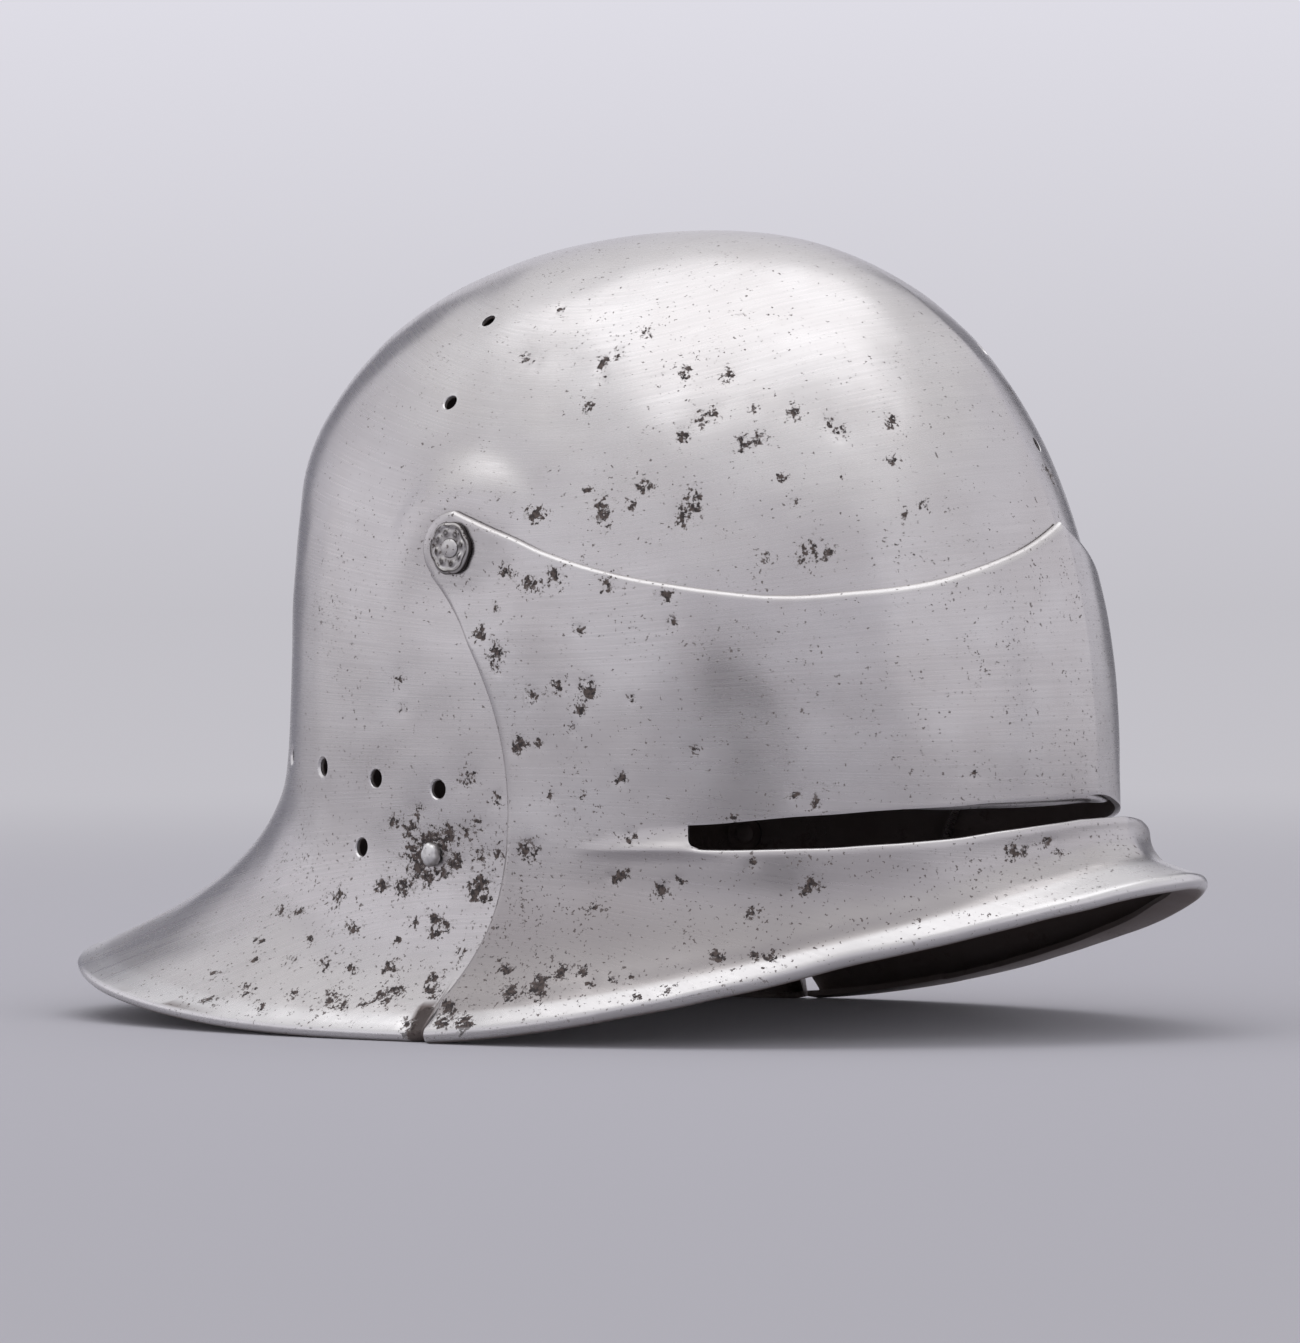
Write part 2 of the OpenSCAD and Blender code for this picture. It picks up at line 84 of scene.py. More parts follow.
# Sizes of the visor
VISOR_REACH = 177
VISOR_RIM_H = 46
VISOR_T = 1.8
VISOR_GAP = 1.2
VISOR_TOP_H = 134.8
VISOR_PEAK_H = 22
VISOR_FLANGE_W = 8
REAR_BULGE = 22.2
REAR_BULGE_H = 70
REAR_CORNER_X = 6.6
REAR_R_OVER = 82
REAR_R_UNDER = 100
SIGHT_H = 59.7
SIGHT_TILT = 4.5
SIGHT_END = 58.8
LIP_H = 59
LIP_RISE = 7.5
LIP_STEP = 9.5
LIP_CURVE_X = 58
LIP_N = 3
STEP_AZ = 74
STEP_N = 1.3
PEAK_AZ = 44
CLIMB_AZ = 46
CLIMB_N = 1.6
LOBE_END = 226
LOBE_SHARE = 0.4

# Sizes at the pivots, the holes and the strap rivets
PIVOT_BACK = 24.8
PIVOT_H = 149.5
LOBE_R = 11.5
PIVOT_R = 2.6
PIVOT_HEAD_R = 2.95
PIVOT_HEAD_H = 1.0
PEEN_R = 4
PEEN_H = 1.3
SEAT_GAP = 0.3
RUNNING_FIT = 0.05
ROSETTE_R = 8.4
ROSETTE_T = 1.4
ROSETTE_RIM_H = 0.9
BOSS_COUNT = 8
BOSS_RING_R = 4.9
WASHER_R = 8
WASHER_T = 1.4
FLAT_R = 12.5
FLAT_FADE_R = 32
NECK_HOLE_R = 2.8
NECK_HOLE_AZ = 107
NECK_HOLE_GAPS = 5
NECK_HOLE_H = 75.8
NECK_HOLE_RISE = 15
CROWN_HOLE_R = 2.4
CROWN_HOLES = [(10.5, 211), (6.5, 181), (-119.5, 195), (-126.5, 221), (119.5, 195), (126.5, 221)]
TAB_HOLE_AZ = 125
TAB_HOLE_H = 57.4
STRAP_BACK = 6.6
STRAP_H = 55.9
STRAP_R = 2.2
STRAP_HEAD_R = 3.6
STRAP_STUB_H = 3.4
STRAP_WASHER_R = 6
STRAP_WASHER_T = 1.2

# The turned edges and the notch
TAIL_BEND_R = SKULL_T + 0.3
VISOR_BEND_R = VISOR_T + 0.8
TAIL_FOLD_H = 1.72 * TAIL_BEND_R
VISOR_FOLD_H = 1.59 * VISOR_BEND_R
FOLD_EXTRA = 0.6
SKULL_EDGE_RISE = 8.8
CHEEK_RISE = 5
CHEEK_RISE_X = 30
CHEEK_AZ = 72
BROW_AZ = 58
BROW_H = 70.3
NOTCH_GAP = 6.2
NOTCH_L = 4.2
NOTCH_RISE = 1.6
NOTCH_WORN = 2.4

VISOR_OFF = VISOR_GAP + VISOR_T
AXIS_X = (TAIL_REACH - VISOR_REACH - FOLD_EXTRA) / 2
PIVOT_X = AXIS_X - PIVOT_BACK
RIM_LOW_X = AXIS_X - RIM_LOW_BACK
FRONT_RIM_REACH = VISOR_REACH - VISOR_OFF * (1 + FLARE_GAP_SHARE)
NOTCH_X = REAR_CORNER_X - NOTCH_GAP
NOTCH_MID = PIVOT_X + NOTCH_X + (NOTCH_L - NOTCH_WORN) / 2

# Fineness of the plates
SKULL_COLS = 400
DOME_ROWS = 78
SIDE_ROWS = 56
DOME_END_H = 110
BEND_ROWS = 8
LOBE_ROWS = 22
BAND_ROWS = 38
LEDGE_ROWS = 8
LOWER_ROWS = 40
SIGHT_COLS = 76
SIDE_COLS = 60
DIFF_Z = 0.3
DIFF_AZ = 0.3
DIFF_S = 0.004
DIFF_V = 0.008
VISOR_TOP_L = 85
VISOR_SIDE_L = 190

# The hand-beaten surface: length and height of its waves, and the pits
WAVE_L = 52
WAVE_MM = 0.2
RIPPLE_L = 23
RIPPLE_MM = 0.05
PIT_L = 5
PIT_MM = 0.16

# The box that holds the plates, and how soon the waves die out toward its sides
BOX_HALF_X = 193.2
BOX_HALF_Y = 123.6
BOX_FADE = 12

# How much lower the sight lies on the far side, and where that starts, grows and ends
FAR_DROOP_MM = 5.2
FAR_DROOP_MORE = 1.6
FAR_NARROWER_MM = 2.2
DROOP_AZ = 26
DROOP_END_AZ = 86
DROOP_FADE_AZ = 22
DROOP_V = 0.35

# Rounded edges: steps from an edge into the plate, and width and depth of the rounding
EDGE_STEPS = [0.1, 0.3, 0.6, 1.0, 1.5, 2.1]
EDGE_ROUND_W = 2.1
EDGE_ROUND_D = 1.4
LIP_STEPS = [0.006, 0.014, 0.024, 0.036, 0.05]
LIP_ROUND_W = 2.2
LIP_ROUND_D = 1.0
CORNER_R = 3.2
CORNER_FADE = 0.1
SIGHT_W = 7.5
HOLE_CHAMFER = 0.35
FLANGE_PAST = 8

# The ridge behind the sight, the cove under it, the groove over the rim and the drawn-in edges
RIDGE_MM = 1.05
RIDGE_W = 1.8
RIDGE_DROP = 0.8
RIDGE_AZ = (52, 61, 64, 80)
COVE_MM = 0.6
COVE_W = 7
COVE_DROP = 13
COVE_AZ = (18, 42, 72, 86)
GROOVE_MM = 0.45
GROOVE_W = 2.4
GROOVE_RISE = 5
TUCK_MM = 0.5
TUCK_W = 3

# Where the painted shade, the rim's painted highlight and the brushing lie on the plates
CROWN_H = 150
UNDER_NZ = 0.72
UNDER_H = VISOR_RIM_H + 6
FLANGE_FROM = {"skull_plate": 2.8, "visor_plate": 0.8}
FLANGE_FADE_W = 1.2
ROLL_W = 4.6
ROLL_FADE_W = 1.6
BRUSH_MID_H = 90
BRUSH_SCALE = (0.11, 0.12)

# Wear of the small pieces
ROSETTE_OVAL = 0.13
BOSS_H = 0.85
BOSS_W = 1.15
WASHER_EDGE = 0.25

# The photo's camera: where it stands and looks, and the frame it fills
PHOTO_W = 1300
PHOTO_H = 1343
YAW = 30.61
PITCH = 0.28
ROLL = -0.29
TARGET = (2.9, 0, 120.8)
DISTANCE = 1962
FOCAL_PX = 6175.7
CENTRE_PX = (650, 640)
SENSOR_W = 36

# The larger pitted patches, read off the photo: pixel across, pixel down, radius in pixels
PATCHES = [
    (561, 311, 4), (525, 358, 6), (535, 362, 4), (604, 363, 6), (617, 355, 5), (601, 381, 5),
    (648, 332, 6), (685, 373, 6), (729, 376, 7), (589, 407, 7), (702, 420, 9), (715, 413, 8),
    (683, 436, 7), (754, 408, 6), (794, 414, 10), (745, 444, 9), (759, 438, 8), (831, 423, 8),
    (841, 432, 8), (891, 421, 8), (645, 484, 10), (588, 491, 6), (602, 505, 8), (602, 518, 8),
    (632, 503, 6), (694, 500, 10), (683, 517, 9), (537, 514, 9), (809, 555, 13), (826, 553, 8),
    (769, 559, 8), (924, 505, 4), (947, 509, 5), (905, 513, 5), (891, 461, 5), (842, 473, 5),
    (782, 480, 7), (794, 505, 5), (993, 373, 5), (1041, 459, 10), (505, 572, 8), (530, 584, 9),
    (555, 578, 9), (608, 583, 9), (666, 595, 8), (479, 634, 8), (496, 653, 8), (495, 669, 5),
    (579, 630, 7), (587, 690, 11), (581, 708, 7), (630, 698, 5), (571, 728, 5), (520, 744, 9),
    (539, 744, 5), (620, 778, 6), (497, 608, 4), (399, 681, 6), (402, 709, 5), (468, 780, 9),
    (497, 800, 7), (695, 749, 5), (528, 850, 10), (550, 796, 4), (582, 796, 4), (631, 839, 6),
    (530, 695, 6), (558, 686, 6), (672, 620, 5), (445, 836, 13), (465, 833, 11), (417, 853, 13),
    (454, 862, 10), (428, 878, 9), (410, 827, 8), (394, 822, 6), (418, 812, 6), (384, 887, 8),
    (404, 887, 9), (480, 855, 8), (480, 883, 11), (475, 891, 8), (479, 822, 6), (498, 853, 6),
    (485, 899, 7), (436, 920, 8), (445, 926, 7), (432, 935, 6), (414, 923, 5), (391, 968, 8),
    (385, 998, 9), (397, 989, 7), (432, 990, 9), (435, 978, 6), (461, 952, 6), (449, 1009, 8),
    (443, 1021, 8), (465, 1025, 9), (512, 993, 7), (539, 989, 10), (506, 969, 5), (583, 972, 5),
    (561, 972, 5), (593, 908, 6), (623, 874, 7), (616, 880, 6), (662, 889, 7), (681, 880, 5),
    (636, 998, 6), (668, 992, 5), (753, 863, 5), (812, 884, 8), (806, 890, 6), (751, 915, 7),
    (1014, 853, 8), (1024, 852, 6), (1058, 853, 5), (1046, 842, 6), (733, 819, 6), (974, 773, 4),
    (815, 804, 4), (796, 794, 5), (771, 958, 6), (719, 956, 6), (755, 956, 5), (912, 946, 4),
    (282, 912, 6), (298, 912, 5), (260, 940, 4), (338, 896, 6), (381, 888, 6), (403, 888, 7),
    (352, 928, 6), (311, 939, 5), (397, 941, 4), (290, 961, 5), (324, 963, 7), (351, 968, 6),
    (256, 959, 4), (216, 974, 5), (249, 990, 6), (292, 995, 6), (335, 1001, 12), (364, 1002, 5),
    # The last patch on this line and the first on the next lie on the notch's wall; besides pitting it,
    # their dark pits paint the wall's shade.
    (428, 838, 12), (440, 846, 10), (420, 868, 10), (445, 872, 9), (412, 843, 9), (408, 1022, 6),
    (406, 1034, 6), (259, 1009, 6), (209, 999, 4), (590, 984, 4), (612, 980, 4), (632, 977, 4),
]
FAR_SHIFT_PX = (31, -14)
SOFT_PX = 1.15


def cos_d(a):
    return np.cos(np.radians(a))


def sin_d(a):
    return np.sin(np.radians(a))


def smooth(v):
    t = np.clip(v, 0, 1)
    return t * t * (3 - 2 * t)


def bell(v):
    return np.exp(-(v**2))


def window(v, low, full, fall, end):
    """1 from full to fall, and 0 under low and over end."""
    return smooth((v - low) / (full - low)) * smooth((end - v) / (end - fall))


def mix(a, b, t):
    return a + (b - a) * t


def unit(v):
    return v / np.maximum(np.linalg.norm(v, axis=-1, keepdims=True), 1e-9)


def oval(a, b, n, az):
    """Polar radius of an oval with half axes a and b and exponent n."""
    return ((np.abs(cos_d(az)) / a) ** n + (np.abs(sin_d(az)) / b) ** n) ** (-1 / n)


def dome(z, spring_h, n):
    """Share of a profile's full reach that is left at height z."""
    t = np.clip((z - spring_h) / (SKULL_H - spring_h), 0, 1)
    return np.maximum(0, 1 - t**n) ** (1 / n)


def bowl_r(z, az):
    """Radius of the bare bowl about the crown axis, with its keel."""
    w = np.maximum(0.01, SKULL_HALF_W * dome(z, SIDE_SPRING_H, SIDE_N))
    front = SKULL_FRONT * dome(z, FRONT_SPRING_H, FRONT_N)
    back = SKULL_BACK * dome(z, BACK_SPRING_H, BACK_N)
    ahead = np.abs(az) < 90
    keel = KEEL_H * (1 - np.abs(sin_d(az))) ** KEEL_N * dome(z, KEEL_SPRING_H, 2)
    keel = keel * np.where(ahead, 1, KEEL_BACK)
    return oval(np.maximum(0.01, np.where(ahead, front, back)), w, PLAN_N, az) + keel


def rim_r(az):
    front = oval(FRONT_RIM_REACH, RIM_HALF_W, RIM_FRONT_N, az)
    return np.where(np.abs(az) < 90, front, oval(TAIL_REACH, RIM_HALF_W, RIM_BACK_N, az))


def rim_z(az):
    x = AXIS_X + rim_r(az) * cos_d(az) - RIM_LOW_X
    front = VISOR_RIM_H * (np.maximum(x, 0) / (AXIS_X + FRONT_RIM_REACH - RIM_LOW_X)) ** RIM_RISE_FRONT
    back = TAIL_TIP_H * (np.maximum(-x, 0) / (RIM_LOW_X - AXIS_X + TAIL_REACH)) ** RIM_RISE_BACK
    return np.where(x > 0, front, back)


def edge_z(az):
    """Height where the plate ends and its turned edge starts."""
    x = AXIS_X + rim_r(az) * cos_d(az)
    return rim_z(az) + np.where(x > PIVOT_X + NOTCH_X + NOTCH_L / 2, VISOR_FOLD_H, TAIL_FOLD_H)


def flare_h(az):
    return mix(SIDE_FLARE_H, np.where(np.abs(az) < 90, FRONT_FLARE_H, TAIL_FLARE_H), cos_d(az) ** 2)


def form_r(z, az, off=0, step=0):
    """Radius of the helmet's form, moved out by off and, below the sight, by step."""
    low = edge_z(az)
    s = np.clip(1 - (z - low) / flare_h(az), 0, 1.1)
    bowl = bowl_r(z, az) + off * (1 + FLARE_GAP_SHARE * s * s) + step
    return bowl + (rim_r(az) - bowl_r(low, az) - step) * s**FLARE_N


def axis_at(z):
    return AXIS_X + CROWN_LEAN * np.clip((z - LEAN_FROM_H) / (SKULL_H - LEAN_FROM_H), 0, 1) ** 2


def az_at(dx, z, off=0):
    """Azimuth of the point at height z that lies dx ahead of the pivots."""
    az = 96
    for _ in range(3):
        az = np.degrees(np.arctan2(form_r(z, az, off) * sin_d(az), PIVOT_X + dx - axis_at(z)))
    return az


PIVOT_AZ = float(az_at(0, PIVOT_H))
PIVOT_Y = float(form_r(PIVOT_H, PIVOT_AZ) * sin_d(PIVOT_AZ))
STRAP_AZ = float(az_at(-STRAP_BACK, STRAP_H))
NOTCH_AZ = float(az_at(NOTCH_X + NOTCH_L / 2, 0))


def form_point(z, az, off=0, step=0):
    """A point of the form, beaten flat round the pivots."""
    r = form_r(z, az, off, step)
    x, y = axis_at(z) + r * cos_d(az), r * sin_d(az)
    z = z + 0 * x
    d = np.hypot(x - PIVOT_X, z - PIVOT_H)
    w = smooth((FLAT_FADE_R - d) / (FLAT_FADE_R - FLAT_R))
    return np.stack([x, mix(y, np.sign(y) * (PIVOT_Y + off), w), z], -1)


def form_normal(z, az):
    along = form_point(z, az + DIFF_AZ) - form_point(z, az - DIFF_AZ)
    up = form_point(np.minimum(z + DIFF_Z, SKULL_H), az) - form_point(z - DIFF_Z, az)
    n = unit(np.cross(along, up))
    top = (z + 0 * az > SKULL_H - 0.02)[..., None]
    return np.where(top, np.array([0, 0, 1.0]), n)


def wall_x(az):
    return AXIS_X + bowl_r(0, az) * cos_d(az)


def sight_z(az):
    return SIGHT_H + math.tan(math.radians(SIGHT_TILT)) * (wall_x(az) - PIVOT_X)


def skull_edge_z(az):
    """Height of the skull's edge under the visor: an arc about the pivots that rises to the brow."""
    r = PIVOT_H - SKULL_EDGE_RISE
    d = np.minimum(r * 0.8, wall_x(az) - PIVOT_X)
    cheek = PIVOT_H - np.sqrt(r * r - d * d) + CHEEK_RISE * np.clip(d / CHEEK_RISE_X, 0, 1)
    return mix(BROW_H, cheek, smooth((np.abs(az) - BROW_AZ) / (CHEEK_AZ - BROW_AZ)))


def turned_edge(p, t, n, r, w, rows, depth, past=0):
    """Rows of points that carry an edge round a bend, level or past that, then inward by w."""
    tz = np.clip(-t[..., 2:], -1, 1)
    turn = math.pi - np.arcsin(tz) + math.radians(past)
    out = []
    for k in range(1, rows + 1):
        a = turn * k / rows
        out.append(p - r * n + (r - depth) * (n * np.cos(a) + t * np.sin(a)))
    last = out[-1]
    inward = t * np.cos(turn) - n * np.sin(turn)
    return out + [last + inward * w * share for share in (0.5, 1)]


# Slow unevenness of hand-beaten plate, the same field for every piece
def waves(p, length, count, seed):
    """A smooth field of unit size from plane waves of about the given length."""
    rng = np.random.default_rng(seed)
    ways = unit(rng.normal(size=(count, 3))) * (2 * math.pi / length) * rng.uniform(0.7, 1.5, (count, 1))
    shift = rng.uniform(0, 2 * math.pi, count)
    return np.sin(p @ ways.T + shift).sum(-1) / math.sqrt(count / 2)


def beaten(p):
    """Points moved by the plate's unevenness, which dies out at the pivots and the box's sides."""
    d = np.hypot(p[..., 0] - PIVOT_X, p[..., 2] - PIVOT_H)
    far = smooth((d - FLAT_R) / FLAT_R)
    for reach in (BOX_HALF_X - np.abs(p[..., 0]), BOX_HALF_Y - np.abs(p[..., 1]), SKULL_H - p[..., 2]):
        far = far * smooth(reach / BOX_FADE)
    move = [
        WAVE_MM * waves(p, WAVE_L, 18, 10 + i) + RIPPLE_MM * waves(p, RIPPLE_L, 24, 20 + i)
        for i in range(3)
    ]
    move[2] = move[2] * smooth(p[..., 2] / 25)
    p = p + np.stack(move, -1) * far[..., None]
    return np.clip(p, [-BOX_HALF_X, -BOX_HALF_Y, 0], [BOX_HALF_X, BOX_HALF_Y, SKULL_H - 0.01])


def camera_axes():
    yaw, pitch, roll = (math.radians(a) for a in (YAW, PITCH, ROLL))
    ahead = np.array([-math.sin(yaw) * math.cos(pitch), math.cos(yaw) * math.cos(pitch), -math.sin(pitch)])
    right = np.array([math.cos(yaw), math.sin(yaw), 0.0])
    up = np.cross(right, ahead)
    c, s = math.cos(roll), math.sin(roll)
    return c * right + s * up, -s * right + c * up, ahead


RIGHT, UP, AHEAD = camera_axes()
EYE = np.array(TARGET) - DISTANCE * AHEAD


def photo_pixels(p):
    """Where points of the object fall in the photo."""
    d = p - EYE
    depth = d @ AHEAD
    return CENTRE_PX[0] + FOCAL_PX * (d @ RIGHT) / depth, CENTRE_PX[1] - FOCAL_PX * (d @ UP) / depth


def patch_strength(p):
    """How deep in a pitted patch each point lies, from 0 to 1; the far side has them shifted."""
    q = p.copy()
    far = q[:, 1] > 0
    q[:, 1] = -np.abs(q[:, 1])
    u, v = photo_pixels(q)
    u = u + far * FAR_SHIFT_PX[0]
    v = v + far * FAR_SHIFT_PX[1]
    out = np.zeros(len(p))
    for x, y, r in PATCHES:
        near = (np.abs(u - x) < 3 * r) & (np.abs(v - y) < 3 * r)
        d2 = ((u[near] - x) ** 2 + (v[near] - y) ** 2) / (r * SOFT_PX) ** 2
        out[near] = np.maximum(out[near], np.exp(-d2))
    return out


def pitted(p, n):
    """Points of an outer face sunk where it is corroded."""
    flat = p.reshape(-1, 3)
    sink = patch_strength(flat) * (1 + 0.6 * waves(flat, PIT_L, 20, 5))
    return p - n * (PIT_MM * np.maximum(sink, 0)).reshape(p.shape[:-1])[..., None]


def grid_faces(first, rows, cols, ring, flip, skip=None):
    """Quads over a grid of points numbered from first, as an array."""
    j = np.arange(cols if ring else cols - 1)
    k = np.arange(rows - 1)
    kk, jj = np.meshgrid(k, j, indexing="ij")
    if skip is not None:
        keep = ~skip(kk, jj)
        kk, jj = kk[keep], jj[keep]
    a = first + kk * cols + jj
    b = first + kk * cols + (jj + 1) % cols
    quad = np.stack([a, b, b + cols, a + cols], -1).reshape(-1, 4)
    return quad[:, ::-1] if flip else quad


def strip(a, b, c, d):
    """Quads between two rows of point numbers, a to b along one and d to c along the other."""
    return np.stack([a, b, c, d], -1).reshape(-1, 4)


def add_object(name, data):
    obj = bpy.data.objects.new(name, data)
    bpy.context.scene.collection.objects.link(obj)
    return obj


def new_piece(name, points, faces):
    """A mesh object from points in millimetres."""
    mesh = bpy.data.meshes.new(name)
    mesh.from_pydata((np.asarray(points) * MM).tolist(), [], [list(f) for f in faces])
    mesh.update()
    return add_object(name, mesh)


def settle(obj, kind, **settings):
    """Adds a modifier and applies it."""
    mod = obj.modifiers.new(kind.title(), kind)
    for key, value in settings.items():
        setattr(mod, key, value)
    depsgraph = bpy.context.evaluated_depsgraph_get()
    made = bpy.data.meshes.new_from_object(obj.evaluated_get(depsgraph))
    obj.modifiers.clear()
    old = obj.data
    obj.data = made
    bpy.data.meshes.remove(old)


def cut_away(obj, cutters):
    """Takes the cutters out of obj, all in one cut."""
    box = bpy.data.meshes.new("cutters")
    bm = bmesh.new()
    for c in cutters:
        bm.from_mesh(c.data)
    bm.to_mesh(box)
    bm.free()
    joined = add_object("cutters", box)
    settle(obj, "BOOLEAN", operation="DIFFERENCE", solver="MANIFOLD", object=joined)
    for c in [*cutters, joined]:
        bpy.data.objects.remove(c)


def local_frame(origin, n):
    """Columns of axes with +Z along n, and the origin."""
    z = unit(np.asarray(n, float))
    x = unit(np.cross([0, 0, 1.0], z))
    return np.array(origin, float), np.stack([x, np.cross(z, x), z], 1)


def on_skull(z, az):
    return local_frame(form_point(z, az), form_normal(np.float64(z), np.float64(az)))


def at_pivot(side):
    return local_frame([PIVOT_X, side * PIVOT_Y, PIVOT_H], [0, side, 0])


def placed(points, place):
    origin, axes = place
    return np.asarray(points) @ axes.T + origin


def turned_rings(outline, sides, shape):
    """Points on rings about +Z, one for each radius and height, after a shaping rule if any."""
    ang = np.arange(sides) * 2 * math.pi / sides
    rings = []
    for k, (r, h) in enumerate(outline):
        ring = np.stack([r * np.cos(ang), r * np.sin(ang), h + 0 * ang], -1)
        rings.append(ring if shape is None else shape(ring, k, ang))
    return np.concatenate(rings)


def lathe(name, place, profile, sides=48, shape=None):
    """A closed turned piece about +Z of its place; a profile runs from the axis back to the axis."""
    points = turned_rings(profile, sides, shape)
    faces = grid_faces(0, len(profile), sides, True, False).tolist()
    faces += [list(range(sides))[::-1], list(range(len(points) - sides, len(points)))]
    return new_piece(name, placed(points, place), faces)


def ring_piece(name, place, outline, sides=64, shape=None):
    """A washer-like ring: a closed outline of radii and heights turned about +Z."""
    points = turned_rings(outline, sides, shape)
    faces = grid_faces(0, len(outline) + 1, sides, True, False) % len(points)
    return new_piece(name, placed(points, place), faces.tolist())


def hole_cutter(place, r):
    """A pin that leaves a hole with a broken edge on both faces of the plate."""
    wide, past = r + HOLE_CHAMFER * 8, HOLE_CHAMFER * 7
    return lathe("cutter", place, [
        (wide, -SKULL_T - past), (r, -SKULL_T + HOLE_CHAMFER), (r, -HOLE_CHAMFER), (wide, past),
    ], 40)


def plain_cutter(place, r, low=-6, high=8):
    return lathe("cutter", place, [(r, low), (r, high)], 48)


def smooth_faces(obj, angle=38):
    obj.data.shade_smooth()
    obj.data.set_sharp_from_angle(angle=math.radians(angle))


def read_field(items, field, kind=float, wide=1):
    values = np.zeros(len(items) * wide, kind)
    items.foreach_get(field, values)
    return values


def add_values(mesh, name, values):
    mesh.attributes.new(name, "FLOAT", "POINT").data.foreach_set("value", values)


def painted_shade_share(name, p, n, around, r, over):
    """Painted shade on a plate: its inner face, its undersides, the notch's walls and the flange, darkened.
    """
    x, y, z = p.T
    out = n[:, 0] * np.cos(around) + n[:, 1] * np.sin(around) + np.where(z > CROWN_H, n[:, 2], 0)
    under = smooth((-n[:, 2] - UNDER_NZ) / 0.2) * (z < UNDER_H)
    dx = np.abs(x - NOTCH_MID) - (NOTCH_L + NOTCH_WORN) / 2
    dz = z - SKULL_EDGE_RISE - NOTCH_RISE
    cut = (np.maximum(dx, dz) < 0.2) & (np.abs(y) > SKULL_HALF_W) & (name == "skull_plate")
    inboard = rim_r(np.degrees(around)) + VISOR_OFF - r
    flange = smooth((inboard - FLANGE_FROM[name]) / FLANGE_FADE_W) * (over < 0)
    return np.max([smooth(-out * 5 - 0.2), under, cut, flange], 0)


def add_brushed_uv(mesh, around, height):
    """A UV map that runs round the helmet, for the brushed lines."""
    corner = read_field(mesh.loops, "vertex_index", np.int32)
    count = read_field(mesh.polygons, "loop_total", np.int32)
    start = np.concatenate([[0], np.cumsum(count)[:-1]])
    a = around[corner]
    span = np.maximum.reduceat(a, start) - np.minimum.reduceat(a, start)
    wraps = np.repeat(span > math.pi, count)
    a = np.where(wraps & (a < 0), a + 2 * math.pi, a)
    uv = np.stack([a * BRUSH_SCALE[0], height[corner] * BRUSH_SCALE[1]], -1)
    mesh.uv_layers.new(name="brushed").data.foreach_set("uv", uv.ravel())


def finish_plate(obj):
    """Adds what the material reads: pitted patches, painted shade on inner faces, undersides, the notch's
    walls and the flange, a painted highlight on the rim's roll, and the brushing.
    """
    mesh = obj.data
    p = read_field(mesh.vertices, "co", wide=3).reshape(-1, 3) / MM
    n = read_field(mesh.vertices, "normal", wide=3).reshape(-1, 3)
    x, y, z = p.T
    around = np.arctan2(y, x - AXIS_X)
    r = np.hypot(x - AXIS_X, y)
    az = np.degrees(around)
    over = z - edge_z(az)
    rolled = np.abs(az) > NOTCH_AZ if obj.name == "skull_plate" else 1
    add_values(mesh, "patch", patch_strength(p))
    # Painted shade: the inside values darken inner faces, undersides, the notch's walls and the flange.
    add_values(mesh, "inside", painted_shade_share(obj.name, p, n, around, r, over))
    # Painted highlight: the rim's roll is brightened.
    add_values(mesh, "roll", smooth((ROLL_W - over) / ROLL_FADE_W) * rolled)
    add_brushed_uv(mesh, around, np.arctan2(z - BRUSH_MID_H, r))
    smooth_faces(obj)


